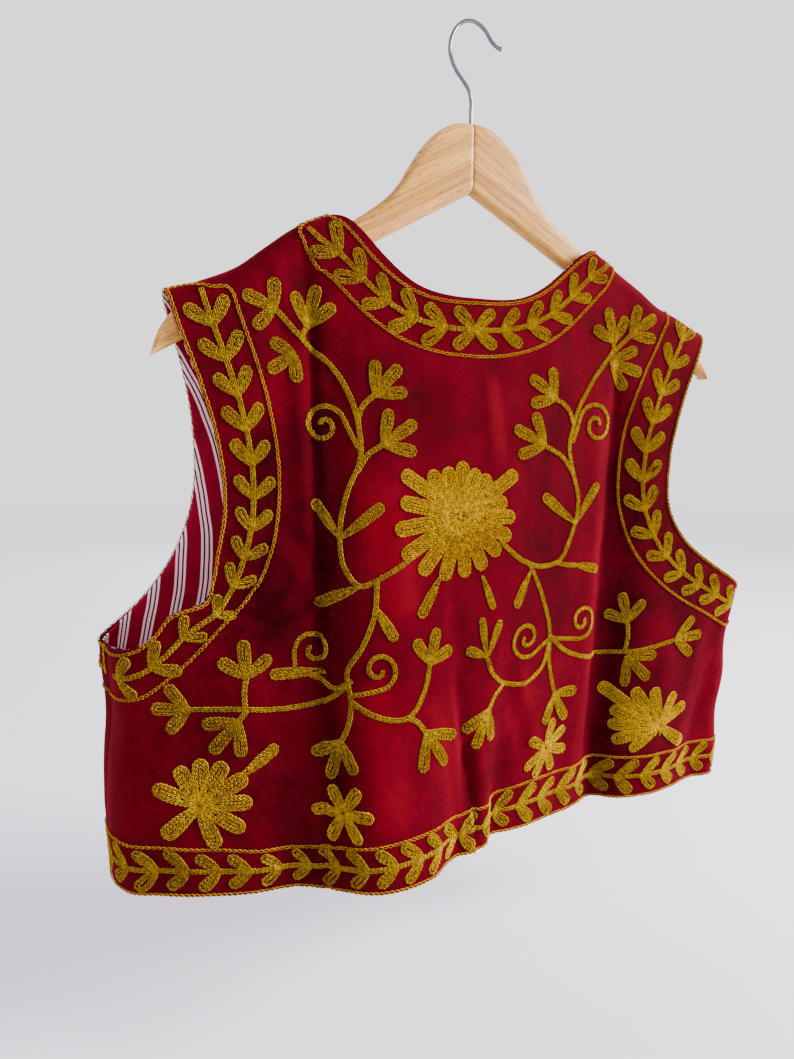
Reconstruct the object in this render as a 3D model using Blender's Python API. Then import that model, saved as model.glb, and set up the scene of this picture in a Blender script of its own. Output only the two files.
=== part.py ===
"""Sleeveless embroidered waistcoat of red velvet, lined, hanging by its shoulders on a wooden coat hanger.

The back faces -Y and the two fronts face +Y; +X is the right as seen from behind. The origin is the
underside of the top of the hook, where a wall hook or a rail holds it.

Sizes and tables are in centimetres, and CM turns them into metres when a mesh is made.
"""

import math

import bmesh
import bpy
import numpy as np

CM = 0.01
SHARP = math.radians(50)  # edges bent more than this are shaded as creases

# ---------------------------------------------------------------- driving sizes, in centimetres
VELVET = 0.15  # thickness of the velvet with its interlining
LINING = 0.10
LAYER_GAP = 0.03  # between velvet and lining, and across each seam

HEM_Z = -59.8
YOKE_Z = -22.0
UNDERARM_LEVEL_Z = -42.6
NECK_BOTTOM_Z = -19.0
FRONT_NECK_Z = -26.5
NECK_HALF = 10.6  # from the middle to the shoulder's neck end
SHOULDER_HALF = 21.45  # from the middle to the shoulder's arm end
NECK_ROUNDNESS = 1.7  # 1 is a plain wave, more has a flatter bottom
FRONT_EDGE_X = 0.4  # each front stops here, short of the middle

WOOD_THICK = 1.2
WOOD_EDGE_ROUND = 0.5
MOST_ROUND = 0.45  # a rounded edge takes at most this share of the wood's height
ARM_SLOPE = 0.555  # fall of each hanger arm for each unit outwards
ARM_TOP_Z = -9.3  # height at which the two sloping top edges would meet
ARM_BOTTOM_Z = -11.5  # inner point of the hanger, where the undersides meet
PEAK_Z = -6.75
MITRE_GAP = 0.03
WOOD_GAP = 0.06  # between the lining and the top of a hanger arm

HOOK_WIRE = 0.29
HOOK_SINK = 1.6  # length of the shank inside the wood
SHANK_HOLE = 0.36
SHANK_TOP_Z = -5.9  # the wire is straight up to here
SHANK_SIDES = 16
HOOK_POINTS = 46

# How the cloth bends over a hanger arm: half its breadth front to back, and the length of a quarter turn.
WRAP_DEPTH = 1.1
WRAP_HEIGHT = WRAP_DEPTH * math.hypot(1.0, ARM_SLOPE)
WRAP_LENGTH = 0.5 * math.pi * 0.5 * (WRAP_DEPTH + WRAP_HEIGHT)
SHOULDER_REST = (VELVET + LAYER_GAP + LINING + WOOD_GAP) * math.hypot(1.0, ARM_SLOPE)

# Lines that run down the cloth, all the way round. Each row: name, then x and y at the yoke, at the
# underarm and at the hem. Between the lines the cloth follows a smooth curve, and so it does up each line.
LINES = (
    # name                yoke x, y       underarm x, y    hem x, y
    ("front_left_edge", -0.4, 1.7, -0.4, 4.9, -0.4, 5.8),
    ("front_left_inner", -6.0, 1.4, -6.3, 4.6, -6.6, 5.3),
    ("front_left_fold", -11.5, 1.2, -12.5, 5.2, -12.8, 6.4),
    ("front_left_chest", -16.5, 1.1, -17.7, 4.9, -17.9, 5.7),
    ("front_left_arm", -20.5, 1.1, -21.5, 5.3, -21.4, 6.2),
    ("front_left_turn", -23.0, 0.9, -25.0, 5.1, -24.3, 6.1),
    ("front_left_bulge", -23.7, 0.5, -25.9, 4.1, -25.4, 5.2),
    ("side_left", -24.0, 0.0, -25.5, 3.0, -25.55, 3.9),
    ("back_left_turn", -23.7, -0.5, -25.1, 1.6, -25.3, 2.0),
    ("back_left_corner", -23.0, -0.8, -24.3, 0.4, -24.4, 0.3),
    ("back_left_outer", -21.6, -1.0, -22.4, -0.3, -22.6, -0.6),
    ("back_left_panel", -19.0, -1.1, -19.5, -1.0, -19.5, -1.9),
    ("back_left_blade", -16.0, -1.1, -16.5, -1.7, -16.6, -2.65),
    ("left_fold_valley", -12.9, -1.0, -12.8, -2.0, -13.5, -2.9),
    ("left_fold_flank", -11.5, -1.15, -11.4, -2.9, -11.6, -4.4),
    ("left_fold_crest", -9.6, -1.25, -9.4, -3.75, -9.6, -5.75),
    ("back_left_ridge", -6.6, -1.4, -6.6, -4.05, -6.6, -5.95),
    ("back_left_inner", -4.4, -1.5, -4.4, -3.95, -4.6, -5.4),
    ("centre_left", -2.5, -1.6, -2.4, -3.65, -2.7, -3.9),
    ("centre_dip", -1.2, -1.6, -1.2, -3.5, -1.5, -3.2),
    ("centre_back", 0.0, -1.6, 0.0, -3.4, -0.3, -3.35),
    ("centre_ridge", 1.2, -1.6, 1.2, -3.25, 0.95, -2.7),
    ("centre_step", 2.5, -1.6, 2.5, -2.95, 1.9, -1.5),
    ("back_right_inner", 4.6, -1.5, 4.6, -2.5, 4.0, -1.3),
    ("back_right_panel", 8.0, -1.35, 8.2, -1.6, 8.0, -0.4),
    ("right_fold_flank", 10.9, -1.2, 11.0, -0.9, 11.3, 0.55),
    ("right_fold_valley", 12.9, -1.05, 12.9, -0.25, 13.5, 1.4),
    ("right_fold_lip", 14.6, -1.15, 14.8, -0.95, 15.3, 0.3),
    ("back_right_blade", 17.0, -1.15, 17.3, -1.2, 17.6, -0.05),
    ("back_right_outer", 20.0, -1.1, 21.0, -1.2, 21.4, 0.45),
    ("back_right_corner", 22.4, -0.9, 24.6, -1.0, 24.7, 1.4),
    ("back_right_turn", 23.6, -0.5, 26.7, -0.7, 26.8, 1.35),
    ("side_right", 24.0, 0.0, 27.6, 0.2, 27.7, 2.3),
    ("front_right_turn", 23.5, 0.7, 27.3, 1.5, 27.4, 3.8),
    ("front_right_arm", 21.8, 1.0, 25.3, 2.3, 25.6, 4.9),
    ("front_right_chest", 17.5, 1.1, 19.8, 2.6, 20.0, 5.2),
    ("front_right_fold", 12.0, 1.2, 13.3, 3.7, 13.6, 5.4),
    ("front_right_inner", 6.2, 1.4, 6.8, 4.6, 7.0, 6.0),
    ("front_right_edge", 0.4, 1.7, 0.4, 4.9, 0.4, 5.6),
)

# How far the shoulder stands off the hanger arm: distance from the middle, left lift, right lift.
SHOULDER_LIFT = (
    # out     left   right
    (10.6, 0.70, 0.25),
    (13.0, 0.95, 0.15),
    (15.0, 0.62, 0.12),
    (16.7, 0.28, 0.00),
    (19.0, 0.50, 0.38),
    (21.45, 1.00, 0.60),
)

# Armholes in flat cloth: (across, height) of the narrowest point, the pull of the curve above and below
# it, the pull at the underarm as (across, height), and the underarm's height.
ARMHOLES = {
    # panel          narrow across, height   above  below  underarm pull   underarm height
    "back_left": (18.35, -32.3, 5.0, 7.2, -6.0, 2.5, -43.1),
    "back_right": (18.35, -32.3, 5.0, 5.2, -4.6, 2.6, -41.9),
    "front_left": (18.9, -31.3, 5.0, 6.5, -3.0, -0.1, -43.1),
    "front_right": (19.3, -31.3, 5.0, 4.8, -4.2, 2.8, -41.9),
}
NECK_COLUMNS = (0.0, 0.35, 0.85, 1.6)  # distances inside the neck's ends where the mesh has a column
BACK_COLUMNS = 41
FRONT_COLUMNS = 17
CLOSE = 0.006  # share of a panel's breadth under which a named line gives way to a wanted column
ROWS = (6, 13, 6)  # on the side seam, up the armhole, and over the shoulder
SEAM_SHARE = 0.375  # the side seam's share of the edge from the hem to the shoulder
WRAP_SHARE = 0.042  # the same for the bend over the shoulder
FRONT_NECK_PULLS = ((3.6, 1.6), (-0.7, -6.0))  # at the centre edge and at the shoulder, as (across, height)
SHOULDER_PULL = (-0.9, -3.5)  # the armhole's start at the shoulder, as (across, height)

# The wood's height above its underside, from the middle outwards: distance from the middle, height.
WOOD_HEIGHT = (
    (0.0, 4.75),
    (1.05, 5.24),
    (1.95, 5.38),
    (2.75, 5.29),
    (3.45, 5.01),
    (4.10, 4.58),
    (4.75, 3.94),
    (5.45, 3.17),
    (6.15, 2.71),
    (7.00, 2.43),
    (8.40, 2.20),
    (20.00, 2.20),
    (20.60, 2.15),
    (21.20, 1.92),
    (21.65, 1.52),
    (22.00, 0.98),
    (22.20, 0.45),
    (22.30, 0.08),
)
WOOD_EVEN = (8.4, 20.0)  # between these distances the wood's height stays the same
WOOD_EVEN_STATIONS = 6
WOOD_CORNER = 2  # straight faces to each rounded corner of the wood's section

# The hook's middle line from the wood to its tip, as (x, z).
HOOK_LINE = (
    (0.0, -5.20),
    (-0.22, -4.45),
    (-0.62, -3.95),
    (-1.12, -3.42),
    (-1.52, -2.78),
    (-1.72, -2.05),
    (-1.62, -1.25),
    (-1.22, -0.48),
    (-0.60, 0.02),
    (0.0, 0.145),
    (0.62, -0.02),
    (1.14, -0.42),
    (1.52, -0.90),
    (1.98, -1.22),
    (2.42, -1.34),
)

# ---------------------------------------------------------------- smooth curves


def smooth(knots, values, at):
    """Cubic curve through values at knots, whose slope at a knot weighs the slopes on its two sides."""
    knots = np.asarray(knots, float)
    values = np.asarray(values, float)
    gaps = np.diff(knots)
    rises = np.diff(values, axis=0) / gaps.reshape((-1,) + (1,) * (values.ndim - 1))
    weight = gaps.reshape((-1,) + (1,) * (values.ndim - 1))
    inner = (rises[:-1] * weight[1:] + rises[1:] * weight[:-1]) / (weight[1:] + weight[:-1])
    slopes = np.concatenate([rises[:1], inner, rises[-1:]])
    at = np.clip(at, knots[0], knots[-1])
    i = np.clip(np.searchsorted(knots, at, side="right") - 1, 0, len(gaps) - 1)
    shape = np.shape(at) + (1,) * (values.ndim - 1)
    h = gaps[i].reshape(shape)
    t = ((at - knots[i]) / gaps[i]).reshape(shape)
    start = (2 * t**3 - 3 * t**2 + 1) * values[i] + (t**3 - 2 * t**2 + t) * h * slopes[i]
    return start + (3 * t**2 - 2 * t**3) * values[i + 1] + (t**3 - t**2) * h * slopes[i + 1]


def bezier(points, count):
    """Cubic Bezier curve through count + 1 evenly timed points."""
    t = np.linspace(0.0, 1.0, count + 1)[:, None]
    a, b, c, d = (np.array(point, float) for point in points)
    return (1 - t) ** 3 * a + 3 * t * (1 - t) ** 2 * b + 3 * t**2 * (1 - t) * c + t**3 * d


def along(points, fractions):
    """Points at the given fractions of a polyline's length."""
    steps = np.hypot(*np.diff(points, axis=0).T)
    reach = np.concatenate([[0.0], np.cumsum(steps)])
    return np.stack([np.interp(fractions * reach[-1], reach, axis) for axis in points.T], axis=1)


# ---------------------------------------------------------------- the worn cloth

LINE_NAMES = [row[0] for row in LINES]
YOKE, UNDERARM, HEM = (np.array([row[k : k + 2] for row in LINES]) for k in (1, 3, 5))
KNOTS = np.concatenate([[0.0], np.cumsum(np.hypot(*np.diff(HEM, axis=0).T))])
RING_POINTS = 700
LEVELS = np.linspace(HEM_Z - 2.0, YOKE_Z + 1.0, 84)  # heights of the lookup table's rows
STEP = 0.2  # spacing of the lookup table round the body
MOST_REACH = 32.0  # how far round a panel the lookup table goes
CURVE_STEPS = 24
SLIGHT = (0.15, 0.012)  # small steps across and up the cloth, for slopes
# The line from which each panel is measured, and the direction of its measure.
MEASURED_FROM = {
    "back": ("centre_back", 1),
    "front_left": ("front_left_edge", 1),
    "front_right": ("front_right_edge", -1),
}


def ring_at(z):
    """The cloth's plan at height z: closely spaced points, with the place of each named line."""
    levels = np.array([HEM_Z, UNDERARM_LEVEL_Z, YOKE_Z])
    lines = smooth(levels, np.stack([HEM, UNDERARM, YOKE]), np.clip(z, HEM_Z, YOKE_Z))
    dense = np.linspace(KNOTS[0], KNOTS[-1], RING_POINTS)
    return smooth(KNOTS, lines, dense), dense


def lookup(panel):
    """For each level, the plan point at each distance round the panel from its own measuring line."""
    line, way = MEASURED_FROM[panel]
    start = KNOTS[LINE_NAMES.index(line)]
    reach = np.arange(-MOST_REACH, MOST_REACH + STEP, STEP)
    rows = []
    for z in LEVELS:
        points, dense = ring_at(z)
        length = np.concatenate([[0.0], np.cumsum(np.hypot(*np.diff(points, axis=0).T))])
        length = way * (length - np.interp(start, dense, length))
        order = np.argsort(length)
        rows.append([np.interp(reach, length[order], points[order, k]) for k in (0, 1)])
    return reach, np.array(rows)


TABLES = {panel: lookup(panel) for panel in MEASURED_FROM}


def line_reach(panel, name, z):
    """Distance round the panel from its measuring line to a named line, at height z."""
    points, dense = ring_at(z)
    length = np.concatenate([[0.0], np.cumsum(np.hypot(*np.diff(points, axis=0).T))])
    line, way = MEASURED_FROM[panel]
    at = np.interp([KNOTS[LINE_NAMES.index(name)], KNOTS[LINE_NAMES.index(line)]], dense, length)
    return way * (at[0] - at[1])


def shoulder_z(x):
    """Height of the fold of cloth over a hanger arm, carried on straight inside the neck."""
    out = np.abs(x)
    table = np.array(SHOULDER_LIFT)
    lift = smooth(table[:, 0], table[:, 1:], out)
    side = np.where(x < 0, lift[..., 0], lift[..., 1])
    return ARM_TOP_Z - ARM_SLOPE * out + SHOULDER_REST + side


def fall(s):
    """For a distance s down the cloth from the shoulder fold: the drop, and the share of its full depth."""
    s = np.maximum(s, 0.0)
    turn = np.clip(s / WRAP_LENGTH, 0.0, 1.0) * 0.5 * math.pi
    return WRAP_HEIGHT * (1 - np.cos(turn)) + np.maximum(s - WRAP_LENGTH, 0.0), np.sin(turn)


def flat_height(x, z):
    """Height that a point at height z has once the bend over the hanger arm is rolled out straight."""
    drop = shoulder_z(x) - z
    turn = np.arccos(1 - np.clip(drop / WRAP_HEIGHT, 0.0, 1.0))
    return shoulder_z(x) - turn / (0.5 * math.pi) * WRAP_LENGTH - np.maximum(drop - WRAP_HEIGHT, 0.0)


def top_x(panel, p):
    """The x that distance p has at the yoke, where the cloth hangs flat from the shoulders."""
    if panel == "back":
        return p
    return (FRONT_EDGE_X + p) * (-1 if panel == "front_left" else 1)


def worn(panel, p, h):
    """Place of the cloth's face: p round the panel from its measuring line, h its height in flat cloth."""
    fold_z = shoulder_z(top_x(panel, p))
    drop, depth = fall(fold_z - h)
    z = fold_z - drop
    reach, rows = TABLES[panel]
    level = np.clip((z - LEVELS[0]) / (LEVELS[1] - LEVELS[0]), 0, len(LEVELS) - 1.001)
    column = np.clip((p - reach[0]) / STEP, 0, len(reach) - 1.001)
    i, j = level.astype(int), column.astype(int)
    a, b = level - i, column - j
    x, y = (
        (1 - a) * ((1 - b) * rows[i, k, j] + b * rows[i, k, j + 1])
        + a * ((1 - b) * rows[i + 1, k, j] + b * rows[i + 1, k, j + 1])
        for k in (0, 1)
    )
    return np.stack([x, y * depth, z], axis=-1)


def outwards(panel, p, h):
    """Unit normal of the cloth's face, from the differences of worn() a little to each side."""
    dp, dh = SLIGHT
    round_body = worn(panel, p + dp, h) - worn(panel, p - dp, h)
    down = worn(panel, p, h - dh) - worn(panel, p, h + dh)
    normal = np.cross(down, round_body) * (-1 if panel == "front_right" else 1)
    return normal / np.linalg.norm(normal, axis=-1, keepdims=True)


# ---------------------------------------------------------------- outlines of the cut pieces


def flat_edge(panel, sign, edge):
    """An edge given as (p, z) turned into (p, h), kept half a seam's gap below the shoulder fold."""
    x = top_x(panel, sign * edge[:, 0])
    height = np.minimum(flat_height(x, edge[:, 1]), shoulder_z(x) - LAYER_GAP / 2)
    return np.stack([sign * edge[:, 0], height], axis=1)


def armhole_edge(panel, side, across):
    """Side seam and armhole of a panel from the hem up to the shoulder, as (p, h)."""
    narrow, narrow_z, above, below, pull_p, pull_z, underarm_z = ARMHOLES[side]
    name = "side_left" if side.endswith("left") else "side_right"
    sign = -1 if side == "back_left" else 1
    seam = [(sign * line_reach(panel, name, z), z) for z in np.linspace(HEM_Z, underarm_z, 9)]
    seam = np.array(seam) - [LAYER_GAP / 2, 0.0]
    shoulder = (across, float(shoulder_z(top_x(panel, np.array(sign * across)))))
    under = (seam[-1][0], underarm_z)
    waist = (narrow, narrow_z)
    lower = (under, (under[0] + pull_p, underarm_z + pull_z), (narrow, narrow_z - below), waist)
    lifted = (shoulder[0] + SHOULDER_PULL[0], shoulder[1] + SHOULDER_PULL[1])
    upper = (waist, (narrow, narrow_z + above), lifted, shoulder)
    curves = [bezier(pulls, CURVE_STEPS)[1:] for pulls in (lower, upper)]
    return flat_edge(panel, sign, np.concatenate([seam, *curves]))


def back_neck_z(x):
    """Back neckline: a wave from one shoulder to the other, flattened at the bottom."""
    part = np.clip(np.abs(x) / NECK_HALF, 0.0, 1.0)
    scoop = 0.5 * (1 + np.cos(math.pi * part**NECK_ROUNDNESS))
    end = shoulder_z(np.where(x < 0, -NECK_HALF, NECK_HALF))
    return end + (NECK_BOTTOM_Z - end) * scoop


def back_top(fractions):
    """The back's top edge from the left shoulder over the neck to the right, as (p, h)."""
    p = (2 * fractions - 1) * SHOULDER_HALF
    z = np.where(np.abs(p) < NECK_HALF, back_neck_z(p), shoulder_z(p))
    return flat_edge("back", 1, np.stack([p, z], axis=1))


def front_neck_edge(panel):
    """A front's centre edge and neckline, from the hem up to the shoulder's neck end, as (p, h)."""
    neck = NECK_HALF - FRONT_EDGE_X
    end_z = float(shoulder_z(top_x(panel, np.array(neck))))
    low_pull, high_pull = FRONT_NECK_PULLS
    curve = bezier(
        (
            (0, FRONT_NECK_Z),
            (low_pull[0], FRONT_NECK_Z + low_pull[1]),
            (neck + high_pull[0], end_z + high_pull[1]),
            (neck, end_z),
        ),
        CURVE_STEPS,
    )
    heights = np.linspace(HEM_Z, FRONT_NECK_Z, CURVE_STEPS // 2, endpoint=False)
    straight = np.stack([np.zeros(len(heights)), heights], axis=1)
    return flat_edge(panel, 1, np.concatenate([straight, curve]))


def front_top(panel, fractions):
    """A front's shoulder edge from its neck end to its arm end, as (p, h)."""
    p = NECK_HALF - FRONT_EDGE_X + fractions * (SHOULDER_HALF - NECK_HALF)
    return flat_edge(panel, 1, np.stack([p, shoulder_z(top_x(panel, p))], axis=1))


def fill_patch(bottom, top, left, right, across, up):
    """Grid of (p, h) between four edges: opposite edges blended, less the blend of the four corners."""
    u, v = across[None, :, None], up[:, None, None]
    sides = (1 - u) * left[:, None] + u * right[:, None]
    ends = (1 - v) * bottom[None] + v * top[None]
    low = (1 - u) * left[0] + u * right[0]
    high = (1 - u) * left[-1] + u * right[-1]
    return sides + ends - ((1 - v) * low + v * high)


def rows_up(seam_share):
    """Shares of a side edge where rows lie: even on the seam and the armhole, close over the shoulder."""
    seam_rows, arm_rows, wrap_rows = ROWS
    seam = np.linspace(0.0, seam_share, seam_rows, endpoint=False)
    arm = np.linspace(seam_share, 1 - WRAP_SHARE, arm_rows, endpoint=False)
    return np.concatenate([seam, arm, np.linspace(1 - WRAP_SHARE, 1.0, wrap_rows)])


def column_shares(panel, first, last, wanted, count):
    """Shares across a panel for its columns: its named lines, the wanted ones, then wide gaps halved."""
    a, b = sorted((LINE_NAMES.index(first), LINE_NAMES.index(last)))
    origin = line_reach(panel, first, HEM_Z)
    reach = sorted(abs(line_reach(panel, name, HEM_Z) - origin) for name in LINE_NAMES[a : b + 1])
    shares = [at for at in np.array(reach) / reach[-1] if all(abs(at - near) > CLOSE for near in wanted)]
    shares = sorted([*shares, *wanted])
    while len(shares) < count:
        widest = int(np.argmax(np.diff(shares)))
        shares.insert(widest + 1, 0.5 * (shares[widest] + shares[widest + 1]))
    return np.array(shares)


def hem_edge(p):
    """The hem at distances p, as (p, h)."""
    return np.stack([p, np.full(len(p), HEM_Z - WRAP_LENGTH + WRAP_HEIGHT)], axis=1)


def back_grid():
    """Grid of (p, h) over the back, from its left edge to its right."""
    up = rows_up(SEAM_SHARE)
    half_shares = [(NECK_HALF - inside) / SHOULDER_HALF / 2 for inside in NECK_COLUMNS]
    wanted = [0.5 + way * share for way in (-1, 1) for share in half_shares]
    across = column_shares("back", "side_left", "side_right", wanted, BACK_COLUMNS)
    left = along(armhole_edge("back", "back_left", SHOULDER_HALF), up)
    right = along(armhole_edge("back", "back_right", SHOULDER_HALF), up)
    hem = hem_edge(left[0, 0] + across * (right[0, 0] - left[0, 0]))
    return fill_patch(hem, back_top(across), left, right, across, up)


def front_grid(panel):
    """Grid of (p, h) over a front, from its centre edge outwards."""
    up = rows_up(SEAM_SHARE)
    side = "side_left" if panel == "front_left" else "side_right"
    across = column_shares(panel, f"{panel}_edge", side, [], FRONT_COLUMNS)
    outer = along(armhole_edge(panel, panel, SHOULDER_HALF - FRONT_EDGE_X), up)
    inner = along(front_neck_edge(panel), up)
    return fill_patch(hem_edge(across * outer[0, 0]), front_top(panel, across), inner, outer, across, up)


# ---------------------------------------------------------------- building in Blender


def clear_scene():
    for old in list(bpy.data.objects):
        bpy.data.objects.remove(old, do_unlink=True)


def collection(name, hidden=False):
    group = bpy.data.collections.new(name)
    bpy.context.scene.collection.children.link(group)
    group.hide_render = hidden
    return group


def material(name, colour, roughness, metallic=0.0):
    made = bpy.data.materials.new(name)
    made.use_nodes = True
    shader = made.node_tree.nodes["Principled BSDF"]
    shader.inputs["Base Color"].default_value = (*colour, 1.0)
    shader.inputs["Roughness"].default_value = roughness
    shader.inputs["Metallic"].default_value = metallic
    return made


def add_object(name, data, group, finish):
    made = bpy.data.objects.new(name, data)
    data.materials.append(finish)
    group.objects.link(made)
    return made


def wall_mesh(name, face, outward, near, far):
    """Closed wall between a grid's face moved in by near and by far, in the same triangles for each layer."""
    rows, columns = face.shape[:2]
    count = rows * columns
    index = np.arange(count).reshape(rows, columns)
    a, b, c, d = index[:-1, :-1], index[:-1, 1:], index[1:, 1:], index[1:, :-1]
    front = np.concatenate([np.stack(corner, -1).reshape(-1, 3) for corner in ((a, b, c), (a, c, d))])
    rim = np.concatenate([index[0], index[1:, -1], index[-1, -2::-1], index[-2::-1, 0]])
    start, end = rim[:-1], rim[1:]
    edge = np.stack([start, start + count, end + count, end], axis=1)
    points = np.concatenate([(face - outward * depth).reshape(-1, 3) for depth in (near, far)])
    faces = front.tolist() + (front[:, ::-1] + count).tolist() + edge.tolist()
    mesh = bpy.data.meshes.new(name)
    mesh.from_pydata((points * CM).tolist(), [], faces)
    mesh.update()
    mesh.shade_smooth()
    mesh.set_sharp_from_angle(angle=SHARP)
    return mesh


def cloth_panel(panel, domain, group, velvet, lining):
    """One cut piece of velvet and the lining behind it."""
    if panel == "front_right":
        domain = domain[:, ::-1]
    face = worn(panel, domain[..., 0], domain[..., 1])
    outward = outwards(panel, domain[..., 0], domain[..., 1])
    inner = VELVET + LAYER_GAP
    add_object(panel, wall_mesh(panel, face, outward, 0.0, VELVET), group, velvet)
    behind = f"lining_{panel}"
    add_object(behind, wall_mesh(behind, face, outward, inner, inner + LINING), group, lining)


def wood_section(x, height, slope):
    """Rounded section of a hanger arm across X, as (y, z) points, its corners stretched by the slope."""
    half = WOOD_THICK / 2
    stretch = math.hypot(1.0, slope)
    low = ARM_BOTTOM_Z - ARM_SLOPE * x
    high = low + height
    rise = min(WOOD_EDGE_ROUND * stretch, MOST_ROUND * height)
    points = []
    for corner in range(4):
        centre_y = (half - WOOD_EDGE_ROUND) * (1 if corner in (0, 3) else -1)
        centre_z = high - rise if corner in (0, 1) else low + rise
        for turn in (corner + np.linspace(0.0, 1.0, WOOD_CORNER + 1)) * 0.5 * math.pi:
            points.append((centre_y + WOOD_EDGE_ROUND * math.cos(turn), centre_z + rise * math.sin(turn)))
    return points


def wooden_arm(name, side, group, finish):
    """One half of the hanger, lofted from the mitre at the middle out to the tip."""
    table = np.array(WOOD_HEIGHT)
    even = np.linspace(*WOOD_EVEN, WOOD_EVEN_STATIONS)[1:-1]
    stations = np.sort(np.concatenate([[MITRE_GAP / 2], table[1:, 0], even]))
    heights = smooth(table[:, 0], table[:, 1], stations)
    slopes = np.gradient(heights - ARM_SLOPE * stations, stations)
    rings = [wood_section(*row) for row in zip(stations, heights, slopes)]
    shape = bmesh.new()
    loops = []
    for x, ring in zip(stations, rings):
        loops.append([shape.verts.new((side * x * CM, y * CM, z * CM)) for y, z in ring])
    for near, far in zip(loops, loops[1:]):
        for k in range(len(near)):
            shape.faces.new((near[k - 1], near[k], far[k], far[k - 1]))
    shape.faces.new(loops[0])
    shape.faces.new(loops[-1])
    bmesh.ops.recalc_face_normals(shape, faces=shape.faces)
    mesh = bpy.data.meshes.new(name)
    shape.to_mesh(mesh)
    shape.free()
    mesh.shade_smooth()
    mesh.set_sharp_from_angle(angle=SHARP)
    return add_object(name, mesh, group, finish)


def shank_cutter(group, finish):
    """Round hole down the joint of the two wooden arms, for the hook's shank."""
    mesh = bpy.data.meshes.new("shank_hole")
    shape = bmesh.new()
    height = 2 * (HOOK_SINK + MITRE_GAP)
    radius = SHANK_HOLE / 2 * CM
    bmesh.ops.create_cone(
        shape, cap_ends=True, segments=SHANK_SIDES, radius1=radius, radius2=radius, depth=height * CM
    )
    shape.to_mesh(mesh)
    shape.free()
    cutter = add_object("shank_hole", mesh, group, finish)
    cutter.location.z = PEAK_Z * CM
    cutter.hide_render = True
    cutter.display_type = "WIRE"
    return cutter


def hook_wire(group, finish):
    """Bent wire: a shank down into the wood, a bow that hangs over the support, and a lifted tip."""
    line = np.array([(0.0, PEAK_Z - HOOK_SINK), (0.0, PEAK_Z), (0.0, SHANK_TOP_Z), *HOOK_LINE])
    knots = np.concatenate([[0.0], np.cumsum(np.hypot(*np.diff(line, axis=0).T))])
    points = smooth(knots, line, np.linspace(0.0, knots[-1], HOOK_POINTS))
    curve = bpy.data.curves.new("hook", "CURVE")
    curve.dimensions = "3D"
    curve.bevel_depth = HOOK_WIRE / 2 * CM
    curve.bevel_resolution = 2
    curve.use_fill_caps = True
    spline = curve.splines.new("POLY")
    spline.points.add(len(points) - 1)
    for point, (x, z) in zip(spline.points, points):
        point.co = (x * CM, 0.0, z * CM, 1.0)
    return add_object("hanger_hook", curve, group, finish)


def main():
    clear_scene()
    group = collection("embroidered_waistcoat")
    cutters = collection("cutters", hidden=True)
    velvet = material("red_velvet", (0.30, 0.004, 0.016), 0.85)
    lining = material("striped_lining", (0.42, 0.01, 0.03), 0.6)
    wood = material("beech", (0.66, 0.40, 0.20), 0.45)
    steel = material("plated_steel", (0.62, 0.62, 0.64), 0.2, 1.0)

    cloth_panel("back", back_grid(), group, velvet, lining)
    cloth_panel("front_left", front_grid("front_left"), group, velvet, lining)
    cloth_panel("front_right", front_grid("front_right"), group, velvet, lining)

    cutter = shank_cutter(cutters, wood)
    for name, side in (("hanger_arm_left", -1), ("hanger_arm_right", 1)):
        hole = wooden_arm(name, side, group, wood).modifiers.new("shank_hole", "BOOLEAN")
        hole.object = cutter
    hook_wire(group, steel)


main()
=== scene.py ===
"""Looks of the embroidered waistcoat: velvet, striped lining, chain stitch and a wooden hanger.

The back faces -Y, +X is the right as seen from behind, and the origin is the underside of the top of the
hook. Lengths are in centimetres, and CM makes them metres where a mesh is filled. A place on the cloth is
(p, h): p is the distance round a panel from the middle of the back or from a front's own edge, and h the
height that the place has once the bend over the hanger is rolled out straight.
"""

import math

import bpy
import numpy as np
from mathutils import Matrix, Vector


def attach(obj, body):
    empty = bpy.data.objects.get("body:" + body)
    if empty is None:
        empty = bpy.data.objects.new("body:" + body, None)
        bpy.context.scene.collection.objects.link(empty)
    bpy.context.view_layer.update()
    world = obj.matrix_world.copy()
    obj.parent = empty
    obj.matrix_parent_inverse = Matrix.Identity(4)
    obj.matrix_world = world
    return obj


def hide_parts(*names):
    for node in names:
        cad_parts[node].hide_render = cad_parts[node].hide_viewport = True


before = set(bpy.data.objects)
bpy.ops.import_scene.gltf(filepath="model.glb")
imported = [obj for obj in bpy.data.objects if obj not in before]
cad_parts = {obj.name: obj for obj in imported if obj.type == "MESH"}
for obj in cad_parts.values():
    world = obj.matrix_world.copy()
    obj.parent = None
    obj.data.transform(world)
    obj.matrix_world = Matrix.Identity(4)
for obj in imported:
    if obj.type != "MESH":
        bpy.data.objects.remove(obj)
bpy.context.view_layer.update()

CM = 0.01
BACK = "back"
FRONTS = ("front_left", "front_right")
PANELS = (BACK, *FRONTS)

# ---------------------------------------------------------------- sizes shared with the solids
VELVET = 0.15  # how thick the velvet is
LINING = 0.10  # how thick the lining's solid is
LAYER_GAP = 0.03  # between the two
SEAM_LAP = 0.005  # how far a cut piece runs past its seams, so that no slit shows
HEM_Z = -59.8
YOKE_Z = -22.0
UNDERARM_LEVEL_Z = -42.6
NECK_BOTTOM_Z = -19.0
FRONT_NECK_Z = -26.5
NECK_HALF = 10.6
SHOULDER_HALF = 21.45
NECK_ROUNDNESS = 1.7
FRONT_EDGE_X = 0.4
WOOD_THICK = 1.2
WOOD_EDGE_ROUND = 0.5
MOST_ROUND = 0.45  # a rounded edge takes at most this share of the wood's height
ARM_SLOPE = 0.555
ARM_TOP_Z = -9.3
ARM_BOTTOM_Z = -11.5
PEAK_Z = -6.75
MITRE_GAP = 0.03
WOOD_GAP = 0.06
HOOK_WIRE = 0.29
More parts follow.
